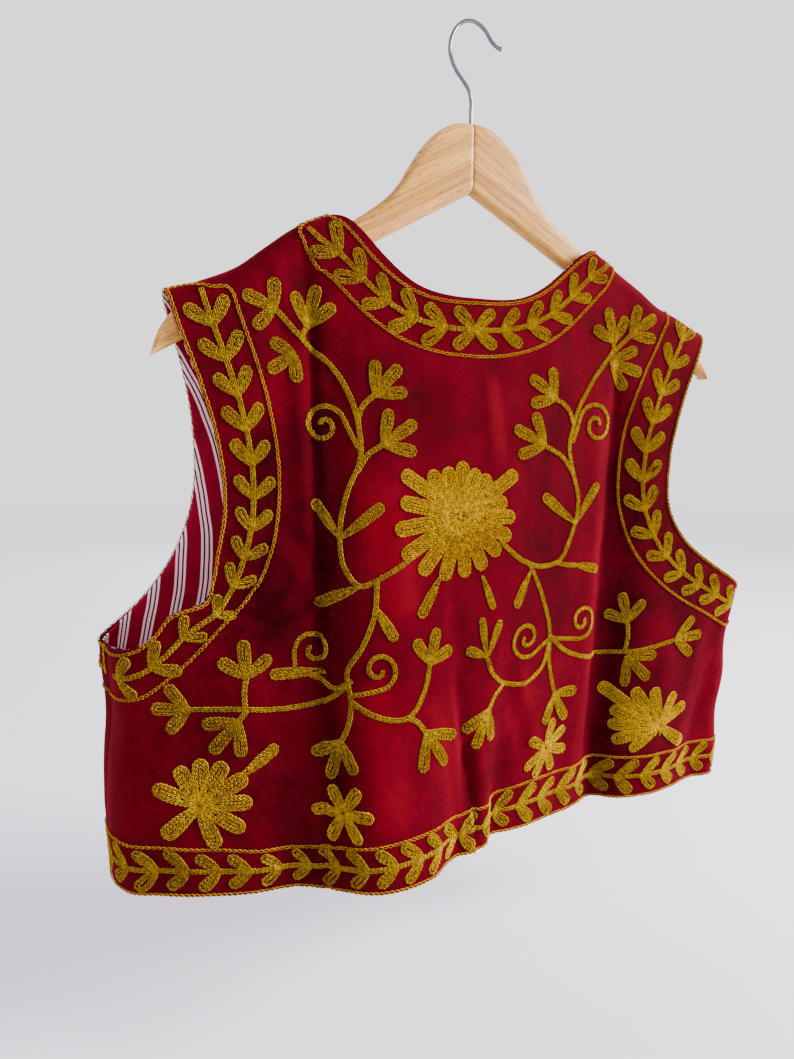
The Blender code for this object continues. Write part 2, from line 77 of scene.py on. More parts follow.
HOOK_SINK = 1.6
SHANK_TOP_Z = -5.9
WRAP_DEPTH = 1.1  # the cloth turns over the hanger on an arc of this depth from front to back
WRAP_HEIGHT = WRAP_DEPTH * math.hypot(1.0, ARM_SLOPE)
WRAP_LENGTH = 0.5 * math.pi * 0.5 * (WRAP_DEPTH + WRAP_HEIGHT)
# From the wood up to the velvet's face.
SHOULDER_REST = (VELVET + LAYER_GAP + LINING + WOOD_GAP) * math.hypot(1.0, ARM_SLOPE)

# Lines that run down the cloth, all the way round: x and y at the yoke, at the underarm and at the hem.
LINES = (
    # name                yoke x, y       underarm x, y    hem x, y
    ("front_left_edge", -0.4, 1.7, -0.4, 4.9, -0.4, 5.8),
    ("front_left_inner", -6.0, 1.4, -6.3, 4.6, -6.6, 5.3),
    ("front_left_fold", -11.5, 1.2, -12.5, 5.2, -12.8, 6.4),
    ("front_left_chest", -16.5, 1.1, -17.7, 4.9, -17.9, 5.7),
    ("front_left_arm", -20.5, 1.1, -21.5, 5.3, -21.4, 6.2),
    ("front_left_turn", -23.0, 0.9, -25.0, 5.1, -24.3, 6.1),
    ("front_left_bulge", -23.7, 0.5, -25.9, 4.1, -25.4, 5.2),
    ("side_left", -24.0, 0.0, -25.5, 3.0, -25.55, 3.9),
    ("back_left_turn", -23.7, -0.5, -25.1, 1.6, -25.3, 2.0),
    ("back_left_corner", -23.0, -0.8, -24.3, 0.4, -24.4, 0.3),
    ("back_left_outer", -21.6, -1.0, -22.4, -0.3, -22.6, -0.6),
    ("back_left_panel", -19.0, -1.1, -19.5, -1.0, -19.5, -1.9),
    ("back_left_blade", -16.0, -1.1, -16.5, -1.7, -16.6, -2.65),
    ("left_fold_valley", -12.9, -1.0, -12.8, -2.0, -13.5, -2.9),
    ("left_fold_flank", -11.5, -1.15, -11.4, -2.9, -11.6, -4.4),
    ("left_fold_crest", -9.6, -1.25, -9.4, -3.75, -9.6, -5.75),
    ("back_left_ridge", -6.6, -1.4, -6.6, -4.05, -6.6, -5.95),
    ("back_left_inner", -4.4, -1.5, -4.4, -3.95, -4.6, -5.4),
    ("centre_left", -2.5, -1.6, -2.4, -3.65, -2.7, -3.9),
    ("centre_dip", -1.2, -1.6, -1.2, -3.5, -1.5, -3.2),
    ("centre_back", 0.0, -1.6, 0.0, -3.4, -0.3, -3.35),
    ("centre_ridge", 1.2, -1.6, 1.2, -3.25, 0.95, -2.7),
    ("centre_step", 2.5, -1.6, 2.5, -2.95, 1.9, -1.5),
    ("back_right_inner", 4.6, -1.5, 4.6, -2.5, 4.0, -1.3),
    ("back_right_panel", 8.0, -1.35, 8.2, -1.6, 8.0, -0.4),
    ("right_fold_flank", 10.9, -1.2, 11.0, -0.9, 11.3, 0.55),
    ("right_fold_valley", 12.9, -1.05, 12.9, -0.25, 13.5, 1.4),
    ("right_fold_lip", 14.6, -1.15, 14.8, -0.95, 15.3, 0.3),
    ("back_right_blade", 17.0, -1.15, 17.3, -1.2, 17.6, -0.05),
    ("back_right_outer", 20.0, -1.1, 21.0, -1.2, 21.4, 0.45),
    ("back_right_corner", 22.4, -0.9, 24.6, -1.0, 24.7, 1.4),
    ("back_right_turn", 23.6, -0.5, 26.7, -0.7, 26.8, 1.35),
    ("side_right", 24.0, 0.0, 27.6, 0.2, 27.7, 2.3),
    ("front_right_turn", 23.5, 0.7, 27.3, 1.5, 27.4, 3.8),
    ("front_right_arm", 21.8, 1.0, 25.3, 2.3, 25.6, 4.9),
    ("front_right_chest", 17.5, 1.1, 19.8, 2.6, 20.0, 5.2),
    ("front_right_fold", 12.0, 1.2, 13.3, 3.7, 13.6, 5.4),
    ("front_right_inner", 6.2, 1.4, 6.8, 4.6, 7.0, 6.0),
    ("front_right_edge", 0.4, 1.7, 0.4, 4.9, 0.4, 5.6),
)

# How far the shoulder stands off the hanger arm.
SHOULDER_LIFT = (
    # out     left   right
    (10.6, 0.70, 0.25),
    (13.0, 0.95, 0.15),
    (15.0, 0.62, 0.12),
    (16.7, 0.28, 0.00),
    (19.0, 0.50, 0.38),
    (21.45, 1.00, 0.60),
)
ARMHOLES = {
    # side           narrow across, height   above  below  underarm pull   underarm height
    "back_left": (18.35, -32.3, 5.0, 7.2, -6.0, 2.5, -43.1),
    "back_right": (18.35, -32.3, 5.0, 5.2, -4.6, 2.6, -41.9),
    "front_left": (18.9, -31.3, 5.0, 6.5, -3.0, -0.1, -43.1),
    "front_right": (19.3, -31.3, 5.0, 4.8, -4.2, 2.8, -41.9),
}
FRONT_NECK_PULLS = ((3.6, 1.6), (-0.7, -6.0))
SHOULDER_PULL = (-0.9, -3.5)

# The wood's height above its underside, from the middle outwards: distance from the middle, height.
WOOD_HEIGHT = (
    (0.0, 4.75),
    (1.05, 5.24),
    (1.95, 5.38),
    (2.75, 5.29),
    (3.45, 5.01),
    (4.10, 4.58),
    (4.75, 3.94),
    (5.45, 3.17),
    (6.15, 2.71),
    (7.00, 2.43),
    (8.40, 2.20),
    (20.00, 2.20),
    (20.60, 2.15),
    (21.20, 1.92),
    (21.65, 1.52),
    (22.00, 0.98),
    (22.20, 0.45),
    (22.30, 0.08),
)
HOOK_LINE = (
    (0.0, -5.20),
    (-0.22, -4.45),
    (-0.62, -3.95),
    (-1.12, -3.42),
    (-1.52, -2.78),
    (-1.72, -2.05),
    (-1.62, -1.25),
    (-1.22, -0.48),
    (-0.60, 0.02),
    (0.0, 0.145),
    (0.62, -0.02),
    (1.14, -0.42),
    (1.52, -0.90),
    (1.98, -1.22),
    (2.42, -1.34),
)

# ---------------------------------------------------------------- smooth curves


def smooth(knots, values, at):
    """Cubic curve through values at knots, whose slope at a knot weighs the slopes on its two sides."""
    knots = np.asarray(knots, float)
    values = np.asarray(values, float)
    gaps = np.diff(knots)
    weight = gaps.reshape((-1,) + (1,) * (values.ndim - 1))
    rises = np.diff(values, axis=0) / weight
    inner = (rises[:-1] * weight[1:] + rises[1:] * weight[:-1]) / (weight[1:] + weight[:-1])
    slopes = np.concatenate([rises[:1], inner, rises[-1:]])
    at = np.clip(at, knots[0], knots[-1])
    i = np.clip(np.searchsorted(knots, at, side="right") - 1, 0, len(gaps) - 1)
    shape = np.shape(at) + (1,) * (values.ndim - 1)
    h = gaps[i].reshape(shape)
    t = ((at - knots[i]) / gaps[i]).reshape(shape)
    start = (2 * t**3 - 3 * t**2 + 1) * values[i] + (t**3 - 2 * t**2 + t) * h * slopes[i]
    return start + (3 * t**2 - 2 * t**3) * values[i + 1] + (t**3 - t**2) * h * slopes[i + 1]


def fade(t):
    """0 below 0, 1 above 1, and 3t^2 - 2t^3 between."""
    t = np.clip(t, 0.0, 1.0)
    return t * t * (3 - 2 * t)


def bezier(points, count):
    """Cubic Bezier curve through count + 1 evenly timed points."""
    t = np.linspace(0.0, 1.0, count + 1)[:, None]
    a, b, c, d = (np.array(point, float) for point in points)
    return (1 - t) ** 3 * a + 3 * t * (1 - t) ** 2 * b + 3 * t**2 * (1 - t) * c + t**3 * d


def lengths(line):
    """Distance along a polyline to each of its points."""
    return np.concatenate([[0.0], np.cumsum(np.linalg.norm(np.diff(line, axis=0), axis=1))])


def at_lengths(line, at):
    """Points of a polyline at the given distances along it."""
    reach = lengths(line)
    return np.stack([np.interp(at, reach, axis) for axis in line.T], axis=-1)


def along(line, shares):
    """Points at the given shares of a polyline's length."""
    return at_lengths(line, shares * lengths(line)[-1])


def through(points, step=0.15):
    """Smooth polyline through a few points, its points about step apart."""
    points = np.array(points, float)
    reach = lengths(points)
    return smooth(reach, points, np.linspace(0.0, reach[-1], max(4, int(reach[-1] / step))))


def beside(line, distance):
    """A polyline moved to its left by a distance, which may differ from point to point."""
    tangent = np.gradient(line, axis=0)
    tangent /= np.linalg.norm(tangent, axis=1, keepdims=True) + 1e-9
    return line + np.stack([-tangent[:, 1], tangent[:, 0]], axis=1) * np.reshape(distance, (-1, 1))


# ---------------------------------------------------------------- the worn cloth

# How far a side is drawn in (towards the middle) or out at some height.
SWAYS = (
    # from x  full at x  at z   half height  shift
    (21.0, 27.6, -46.6, 3.4, -1.00),
    (21.0, 27.6, -53.0, 2.8, -0.70),
    (-21.0, -25.5, -47.5, 3.0, 0.35),
    (-21.0, -25.5, -55.0, 3.5, -0.20),
)
LINE_NAMES = [row[0] for row in LINES]
YOKE, UNDERARM, HEM = (np.array([row[k : k + 2] for row in LINES]) for k in (1, 3, 5))
KNOTS = lengths(HEM)
RING_POINTS = 700
LEVELS = np.linspace(HEM_Z - 2.0, YOKE_Z + 1.0, 84)  # the heights in the lookup table
STEP = 0.2  # from one distance in the lookup table to the next
MOST_REACH = 32.0  # the furthest distance in it
SLIGHT = (0.15, 0.012)  # the steps in p and h from which a normal is taken
MEASURED_FROM = {
    BACK: ("centre_back", 1),
    "front_left": ("front_left_edge", 1),
    "front_right": ("front_right_edge", -1),
}


def ring_at(z):
    """The cloth's plan at height z: closely spaced points, with the place of each named line."""
    levels = np.array([HEM_Z, UNDERARM_LEVEL_Z, YOKE_Z])
    lines = smooth(levels, np.stack([HEM, UNDERARM, YOKE]), np.clip(z, HEM_Z, YOKE_Z))
    dense = np.linspace(KNOTS[0], KNOTS[-1], RING_POINTS)
    return smooth(KNOTS, lines, dense), dense


def on_past_ends(row):
    """The row with one more value past each end, four steps on at the same rate."""
    return np.concatenate([5 * row[:1] - 4 * row[1:2], row, 5 * row[-1:] - 4 * row[-2:-1]])


def lookup(panel):
    """For each level, the plan point at each distance round the panel from its own measuring line."""
    line, way = MEASURED_FROM[panel]
    start = KNOTS[LINE_NAMES.index(line)]
    reach = np.arange(-MOST_REACH, MOST_REACH + STEP, STEP)
    rows = []
    for z in LEVELS:
        points, dense = ring_at(z)
        length = lengths(points)
        length = way * (length - np.interp(start, dense, length))
        points, length = (on_past_ends(row) for row in (points, length))
        order = np.argsort(length)
        rows.append([np.interp(reach, length[order], points[order, k]) for k in (0, 1)])
    return reach, np.array(rows)


TABLES = {panel: lookup(panel) for panel in PANELS}


def line_reach(panel, name, z):
    """Distance round the panel from its measuring line to a named line, at height z."""
    points, dense = ring_at(z)
    line, way = MEASURED_FROM[panel]
    at = np.interp([KNOTS[LINE_NAMES.index(name)], KNOTS[LINE_NAMES.index(line)]], dense, lengths(points))
    return way * (at[0] - at[1])


def shoulder_z(x):
    """Height of the fold of cloth over a hanger arm, carried on straight inside the neck."""
    out = np.abs(x)
    table = np.array(SHOULDER_LIFT)
    lift = smooth(table[:, 0], table[:, 1:], out)
    side = np.where(x < 0, lift[..., 0], lift[..., 1])
    return ARM_TOP_Z - ARM_SLOPE * out + SHOULDER_REST + side


def flat_height(x, z):
    """Height that a point at height z has once the bend over the hanger arm is rolled out straight."""
    drop = shoulder_z(x) - z
    turn = np.arccos(1 - np.clip(drop / WRAP_HEIGHT, 0.0, 1.0))
    return shoulder_z(x) - turn / (0.5 * math.pi) * WRAP_LENGTH - np.maximum(drop - WRAP_HEIGHT, 0.0)


def top_x(panel, p):
    """The x that distance p has at the yoke, where the cloth hangs flat from the shoulders."""
    if panel == BACK:
        return p
    return (FRONT_EDGE_X + p) * (-1 if panel == "front_left" else 1)


def sway(x, z):
    """Sideways shift of the hanging sides: each is a bell curve in z that grows towards the side."""
    total = np.zeros(np.shape(x))
    for start, full, z0, half, shift in SWAYS:
        total = total + shift * np.exp(-(((z - z0) / half) ** 2)) * fade((x - start) / (full - start))
    return total


def worn(panel, p, h):
    """Place of the plain form at (p, h): a quarter turn over the hanger's arm, then down the lookup table.

    Past the fold the turn goes on over the arm, so that the cloth has a slope there too.
    """
    fold_z = shoulder_z(top_x(panel, p))
    s = fold_z - h
    turn = np.clip(s / WRAP_LENGTH, -1.0, 1.0) * 0.5 * math.pi
    z = fold_z - WRAP_HEIGHT * (1 - np.cos(turn)) - np.maximum(s - WRAP_LENGTH, 0.0)
    reach, rows = TABLES[panel]
    level = np.clip((z - LEVELS[0]) / (LEVELS[1] - LEVELS[0]), 0, len(LEVELS) - 1.001)
    column = np.clip((p - reach[0]) / STEP, 0, len(reach) - 1.001)
    i, j = level.astype(int), column.astype(int)
    a, b = level - i, column - j
    x, y = (
        (1 - a) * ((1 - b) * rows[i, k, j] + b * rows[i, k, j + 1])
        + a * ((1 - b) * rows[i + 1, k, j] + b * rows[i + 1, k, j + 1])
        for k in (0, 1)
    )
    return np.stack([x + sway(x, z), y * np.sin(turn), z], axis=-1)


def normal_of(place, panel, p, h):
    """Unit normal, outwards, of the surface place(panel, p, h), from its differences to each side."""
    dp, dh = SLIGHT
    round_body = place(panel, p + dp, h) - place(panel, p - dp, h)
    down = place(panel, p, h - dh) - place(panel, p, h + dh)
    normal = np.cross(down, round_body) * (-1 if panel == "front_right" else 1)
    return normal / np.linalg.norm(normal, axis=-1, keepdims=True)


# ---------------------------------------------------------------- creases laid over the plain form

# Soft troughs (negative) and ridges: where each starts and ends, its half width and its height.
CREASES = {
    BACK: (
        # from p, h      to p, h        half   height
        (-12.0, -20.0, -12.3, -38.0, 0.34, -0.36),
        (-12.2, -34.0, -13.1, -60.4, 0.34, -0.40),
        (-13.2, -22.0, -12.9, -37.5, 0.55, 0.22),
        (-14.4, -36.0, -14.6, -60.0, 0.80, 0.12),
        (12.9, -22.0, 12.9, -38.5, 0.42, -0.24),
        (12.8, -36.0, 13.3, -55.0, 0.42, -0.20),
        (11.2, -24.0, 11.3, -60.4, 0.90, 0.14),
        (14.2, -22.0, 14.8, -60.4, 1.70, -0.30),
        (19.0, -43.0, 19.6, -60.4, 2.20, 0.16),
        (-2.4, -45.0, -1.0, -53.5, 0.42, -0.24),
        (-1.3, -51.0, 0.5, -60.4, 0.34, -0.34),
        (-3.2, -46.0, -0.9, -60.4, 0.50, 0.20),
        (-0.2, -51.0, 1.9, -60.4, 0.50, 0.16),
        (2.0, -46.0, 5.4, -54.0, 0.60, -0.12),
        (3.2, -45.5, 6.4, -53.0, 0.60, 0.10),
        (-14.8, -34.8, -12.1, -38.6, 0.45, -0.18),
        (-15.6, -36.4, -12.6, -40.0, 0.50, 0.12),
        (-20.2, -40.2, -15.4, -42.2, 0.36, -0.22),
        (-20.3, -40.4, -16.6, -39.7, 0.34, -0.30),
        (-19.6, -39.3, -16.8, -38.9, 0.50, 0.16),
        (-23.6, -43.4, -19.6, -43.4, 0.50, 0.14),
        (-11.0, -20.0, -11.6, -60.4, 1.50, -0.30),
        (-16.0, -42.1, -11.6, -40.4, 0.46, -0.18),
        (-16.8, -43.1, -11.9, -41.3, 0.55, 0.15),
        (-23.0, -47.4, -13.6, -42.8, 1.20, 0.20),
        (-25.6, -50.2, -20.6, -47.6, 0.50, -0.14),
        (-26.0, -53.0, -22.6, -51.4, 0.50, 0.12),
        (-24.5, -49.0, -22.0, -58.0, 1.10, 0.14),
        (-18.4, -52.0, -17.4, -59.5, 1.00, 0.10),
        (-12.6, -16.2, -11.8, -24.0, 0.55, -0.24),
        (-14.8, -17.4, -13.1, -23.0, 0.60, 0.18),
        (-16.5, -21.0, -19.0, -33.0, 1.20, 0.10),
        (-5.9, -23.8, -5.3, -31.0, 0.60, 0.08),
        (0.5, -24.2, 1.2, -32.0, 0.45, 0.09),
        (1.7, -24.2, 2.4, -31.0, 0.45, -0.08),
        (6.5, -22.0, 4.5, -32.0, 1.00, 0.09),
        (-6.9, -27.0, -6.3, -50.0, 1.10, 0.12),
        (-2.9, -39.5, -1.6, -46.0, 0.60, -0.12),
        (9.5, -33.0, 7.5, -47.0, 1.20, 0.10),
        (13.5, -38.9, 19.5, -38.2, 0.40, -0.10),
        (20.5, -43.0, 17.0, -52.0, 1.10, -0.12),
        (23.8, -44.0, 22.4, -58.0, 1.00, 0.16),
        (25.6, -48.0, 25.0, -60.0, 0.70, -0.12),
    ),
    "front_left": (
        (12.3, -26.0, 12.7, -59.0, 0.60, -0.20),
        (4.5, -33.0, 3.5, -57.0, 1.00, 0.10),
        (18.5, -42.0, 21.0, -57.0, 1.10, -0.12),
    ),
    "front_right": (
        (12.8, -28.0, 13.4, -59.0, 0.60, -0.20),
        (5.5, -30.0, 4.2, -56.0, 1.10, 0.11),
        (19.5, -42.0, 22.0, -58.0, 1.00, -0.12),
    ),
}
# Slow unevenness of the hanging cloth: waves of these lengths, at these angles, with these heights.
RUMPLES = (
    # length  angle  height  shift
    (7.3, 12.0, 0.035, 0.4),
    (4.9, 71.0, 0.022, 2.1),
    (3.4, 158.0, 0.016, 4.0),
    (2.3, 102.0, 0.010, 1.3),
)
SIDE_HOLD = 2.0  # the relief dies away over this distance from a side seam
TOP_HOLD = 3.0  # the same below the shoulder fold
SIDE_REACH = {BACK: 28.6, **dict.fromkeys(FRONTS, 27.0)}
UNDER_WIDER = 1.5  # a trough in the lining is wider than in the velvet by this factor
UNDER_DEEPER = 1.1  # and deeper by this one
STROKE_FADE = 4  # a stroke fades over one part in four of its length at each end
STROKE_END = 1.12  # and ends at this share of its length

# Painted shade (below 0) and painted light on the velvet, as soft strokes: dark strips in and beside the
# folds and lighter parts where the cloth is lit, over some uneven lay of the pile.
NAP_AND_PAINTED_SHADING = {
    BACK: (
        # from p, h      to p, h        half  tone
        (-11.4, -20.0, -12.0, -58.0, 1.20, -0.80),
        (-14.6, -27.0, -16.4, -44.0, 2.10, -0.85),
        (-16.6, -52.0, -13.8, -60.0, 2.00, -0.55),
        (-22.5, -49.8, -16.0, -50.4, 1.30, -0.35),
        (14.3, -21.0, 15.3, -60.0, 1.90, -0.72),
        (-7.9, -23.0, -7.5, -31.0, 1.30, -0.45),
        (-1.3, -41.5, -1.6, -48.0, 1.20, -0.20),
        (-12.8, -17.5, -11.9, -23.5, 1.00, -0.60),
        (6.7, -24.5, 6.8, -31.0, 1.60, -0.40),
        (2.2, -51.5, 3.2, -58.5, 1.20, -0.40),
        (-16.0, -39.0, -13.0, -44.0, 1.30, -0.50),
        (-5.2, -25.5, -3.0, -30.0, 2.00, -0.35),
        (18.5, -47.5, 18.0, -51.0, 1.60, -0.35),
        (-8.0, -31.0, -6.4, -42.0, 1.50, 1.30),
        (-17.5, -19.0, -15.5, -26.0, 1.70, -0.40),
        (-9.6, -44.5, -7.6, -57.0, 2.10, 0.80),
        (-5.6, -46.5, -0.1, -54.5, 1.40, 0.45),
        (-14.9, -23.5, -14.6, -32.0, 0.60, 0.35),
        (11.6, -24.0, 12.0, -57.0, 0.90, 0.20),
        (5.0, -30.0, 8.0, -45.0, 2.60, -0.55),
        (-1.6, -51.5, 0.2, -59.5, 0.45, -0.80),
        (-3.6, -49.0, -1.8, -58.5, 0.80, 0.45),
        (21.5, -19.0, 22.5, -62.0, 4.60, -0.50),
        (19.0, -21.0, 19.4, -42.0, 2.20, -0.45),
        (25.6, -45.5, 27.2, -57.5, 1.60, 0.50),
        (-25.2, -44.0, -25.8, -56.5, 1.70, 0.45),
        (1.4, -24.5, 2.1, -30.5, 0.80, 0.45),
        (4.6, -46.5, 4.0, -52.0, 1.20, 0.35),
    ),
    "front_left": (
        (12.6, -27.0, 13.2, -58.0, 1.60, -0.70),
        (6.0, -34.0, 4.0, -56.0, 2.00, 0.55),
        (20.5, -43.0, 22.5, -57.0, 1.80, 0.45),
    ),
    "front_right": (
        (13.2, -28.0, 13.8, -58.0, 1.60, -0.70),
        (5.2, -33.0, 6.4, -56.0, 2.00, 0.55),
        (21.5, -43.0, 21.5, -57.0, 1.80, 0.45),
    ),
}


def strokes(rows, p, h):
    """Sum of some strokes: each is a bell curve across its line, faded at both ends."""
    total = np.zeros(np.shape(p))
    for p0, h0, p1, h1, half, height in rows:
        run = np.array([p1 - p0, h1 - h0])
        length = np.hypot(*run)
        way = run / length
        t = ((p - p0) * way[0] + (h - h0) * way[1]) / length
        off = (p - p0) * way[1] - (h - h0) * way[0]
        ends = (fade(t * STROKE_FADE), fade((STROKE_END - t) * STROKE_FADE))
        total = total + height * np.exp(-((off / half) ** 2)) * ends[0] * ends[1]
    return total


def wave(p, h, length, angle, shift):
    """Sine wave from -1 to 1 that runs over the flat cloth at an angle in degrees."""
    way = math.radians(angle)
    return np.sin(2 * math.pi * (p * math.cos(way) + h * math.sin(way)) / length + shift)


def relief(panel, p, h, under=False):
    """Height over the plain form, from the creases and slow waves, none at the sides and the shoulders.

    The lining lies under the troughs, wider and a little deeper there, and under none of the ridges.
    """
    creases = CREASES[panel]
    if under:
        creases = [(*row[:4], UNDER_WIDER * row[4], UNDER_DEEPER * row[5]) for row in creases if row[5] < 0]
        total = strokes(creases, p, h) - sum(row[2] for row in RUMPLES)
    else:
        total = strokes(creases, p, h)
        for length, angle, height, shift in RUMPLES:
            total = total + height * wave(p, h, length, angle, shift)
    hold = fade((SIDE_REACH[panel] - np.abs(p)) / SIDE_HOLD)
    return total * hold * fade((shoulder_z(top_x(panel, p)) - h) / TOP_HOLD)


def cloth(panel, p, h, under=False):
    """Place of the velvet's face at (p, h): the plain form moved along its normal by the relief."""
    return worn(panel, p, h) + normal_of(worn, panel, p, h) * relief(panel, p, h, under)[..., None]


# ---------------------------------------------------------------- outlines of the cut pieces

CURVE_STEPS = 40


def flat_edge(panel, sign, edge):
    """An edge given as (p, z) turned into (p, h), up to the shoulder seam."""
    x = top_x(panel, sign * edge[:, 0])
    height = np.minimum(flat_height(x, edge[:, 1]), shoulder_z(x) + SEAM_LAP)
    return np.stack([sign * edge[:, 0], height], axis=1)


def armhole(panel, side, across):
    """A side seam from the hem up, and the armhole from its foot to the shoulder, each as (p, h)."""
    narrow, narrow_z, above, below, pull_p, pull_z, underarm_z = ARMHOLES[side]
    name = "side_left" if side.endswith("left") else "side_right"
    sign = -1 if side == "back_left" else 1
    seam = [(sign * line_reach(panel, name, z), z) for z in np.linspace(HEM_Z, underarm_z, 9)]
    seam = np.array(seam) + [SEAM_LAP, 0.0]
    shoulder = (across, float(shoulder_z(top_x(panel, np.array(sign * across)))))
    under = (seam[-1][0], underarm_z)
    waist = (narrow, narrow_z)
    lower = (under, (under[0] + pull_p, underarm_z + pull_z), (narrow, narrow_z - below), waist)
    lifted = (shoulder[0] + SHOULDER_PULL[0], shoulder[1] + SHOULDER_PULL[1])
    upper = (waist, (narrow, narrow_z + above), lifted, shoulder)
    curve = np.concatenate([bezier(lower, CURVE_STEPS), bezier(upper, CURVE_STEPS)[1:]])
    return flat_edge(panel, sign, seam), flat_edge(panel, sign, curve)


def back_neck_z(x):
    """Back neckline: a wave from one shoulder to the other, flattened at the bottom."""
    part = np.clip(np.abs(x) / NECK_HALF, 0.0, 1.0)
    scoop = 0.5 * (1 + np.cos(math.pi * part**NECK_ROUNDNESS))
    end = shoulder_z(np.where(x < 0, -NECK_HALF, NECK_HALF))
    return end + (NECK_BOTTOM_Z - end) * scoop


def back_top(p):
    """The back's top edge at distances p, over the neck between the two shoulders, as (p, h)."""
    z = np.where(np.abs(p) < NECK_HALF, back_neck_z(p), shoulder_z(p))
    return flat_edge(BACK, 1, np.stack([p, z], axis=1))


def front_neck(panel):
    """A front's centre edge, and its neckline from there up to the shoulder's neck end, each as (p, h)."""
    neck = NECK_HALF - FRONT_EDGE_X
    end_z = float(shoulder_z(top_x(panel, np.array(neck))))
    low, high = FRONT_NECK_PULLS
    low = (low[0], FRONT_NECK_Z + low[1])
    high = (neck + high[0], end_z + high[1])
    curve = bezier(((0, FRONT_NECK_Z), low, high, (neck, end_z)), CURVE_STEPS)
    heights = np.linspace(HEM_Z, FRONT_NECK_Z, CURVE_STEPS)
    straight = np.stack([np.zeros(len(heights)), heights], axis=1)
    return flat_edge(panel, 1, straight), flat_edge(panel, 1, curve)


def front_top(panel, p):
    """A front's shoulder edge at distances p, as (p, h)."""
    return flat_edge(panel, 1, np.stack([p, shoulder_z(top_x(panel, p))], axis=1))


def hem_edge(p):
    """The hem at distances p, as (p, h)."""
    return np.stack([p, np.full(len(p), HEM_Z - WRAP_LENGTH + WRAP_HEIGHT)], axis=1)


EDGES = {"neck": back_top(np.linspace(-NECK_HALF, NECK_HALF, 2 * CURVE_STEPS))}
for hand in ("left", "right"):
    EDGES[f"seam_{hand}"], EDGES[f"arm_{hand}"] = armhole(BACK, f"back_{hand}", SHOULDER_HALF)

# The left armhole is gathered up: how far its edge lies inside the plain curve, by share of its length.
GATHERED = (
    (0.0, 0.0), (0.02, 0.36), (0.05, 0.72), (0.12, 1.08), (0.16, 0.86), (0.22, 0.20), (0.25, 0.42),
    (0.295, 0.95), (0.33, 0.52), (0.385, 0.04), (0.5, 0.0), (1.0, 0.0),
)
BAND_POINTS = 160  # an edge with a band along it is taken at this many even points
PLAIN_ARM_LEFT = along(EDGES["arm_left"], np.linspace(0.0, 1.0, BAND_POINTS))
GATHER = smooth(*np.array(GATHERED).T, lengths(PLAIN_ARM_LEFT) / lengths(PLAIN_ARM_LEFT)[-1])
EDGES["arm_left"] = beside(PLAIN_ARM_LEFT, -GATHER)


def joined(*lines):
    """Polylines that follow on from each other, as one."""
    return np.concatenate([lines[0], *(line[1:] for line in lines[1:])])


def fill_patch(bottom, top, left, right, across, up):
    """Grid of (p, h) between four edges: opposite edges blended, less the blend of the four corners."""
    u, v = across[None, :, None], up[:, None, None]
    sides = (1 - u) * left[:, None] + u * right[:, None]
    ends = (1 - v) * bottom[None] + v * top[None]
    low = (1 - u) * left[0] + u * right[0]
    high = (1 - u) * left[-1] + u * right[-1]
    return sides + ends - ((1 - v) * low + v * high)


SEAM_SHARE = 0.375  # of a side edge, the lowest share, about up to the underarm
WRAP_SHARE = 0.042  # and the highest, over the shoulder
ROLL_SHARES = np.array([0.0, 0.0005, 0.0014, 0.0028])  # shares of a panel in which its edge rounds over
ROLL_DEPTHS = np.array([1.0, 0.42, 0.12, 0.0])  # how far in the face lies there, in halves of the wall


def closer_at_ends(shares):
    """Shares from 0 to 1 with the ones that round an edge over put in at both ends."""
    inner = shares[(shares > 2 * ROLL_SHARES[-1]) & (shares < 1 - 2 * ROLL_SHARES[-1])]
    return np.concatenate([ROLL_SHARES, inner, 1 - ROLL_SHARES[::-1]])


def rows_up(rows):
    """Shares of a side edge where rows lie: even on the seam and the armhole, close over the shoulder."""
    seam_rows, arm_rows, wrap_rows = rows
    seam = np.linspace(0.0, SEAM_SHARE, seam_rows, endpoint=False)
    arm = np.linspace(SEAM_SHARE, 1 - WRAP_SHARE, arm_rows, endpoint=False)
    return closer_at_ends(np.concatenate([seam, arm, np.linspace(1 - WRAP_SHARE, 1.0, wrap_rows)]))


def back_grid(columns, rows):
    """Grid of (p, h) over the back, from left to right, with a column at each end of the neck."""
    up = rows_up(rows)
    end = 0.5 * (1 - NECK_HALF / SHOULDER_HALF)
    shoulder, neck = columns
    side = np.linspace(0.0, end, shoulder, endpoint=False)
    middle = np.linspace(end, 1 - end, neck, endpoint=False)
    across = closer_at_ends(np.concatenate([side, middle, 1 - side[::-1], [1 - end]]))
    across = np.unique(np.round(across, 9))
    left = along(joined(EDGES["seam_left"], EDGES["arm_left"]), up)
    right = along(joined(EDGES["seam_right"], EDGES["arm_right"]), up)
    hem = hem_edge(left[0, 0] + across * (right[0, 0] - left[0, 0]))
    return fill_patch(hem, back_top((2 * across - 1) * SHOULDER_HALF), left, right, across, up)


def front_grid(panel, columns, rows):
    """Grid of (p, h) over a front, from its centre edge outwards."""
    up = rows_up(rows)
    across = closer_at_ends(np.linspace(0.0, 1.0, columns))
    outer = along(joined(*armhole(panel, panel, SHOULDER_HALF - FRONT_EDGE_X)), up)
    inner = along(joined(*front_neck(panel)), up)
    top = front_top(panel, NECK_HALF - FRONT_EDGE_X + across * (SHOULDER_HALF - NECK_HALF))
    return fill_patch(hem_edge(across * outer[0, 0]), top, inner, outer, across, up)


# ---------------------------------------------------------------- meshes


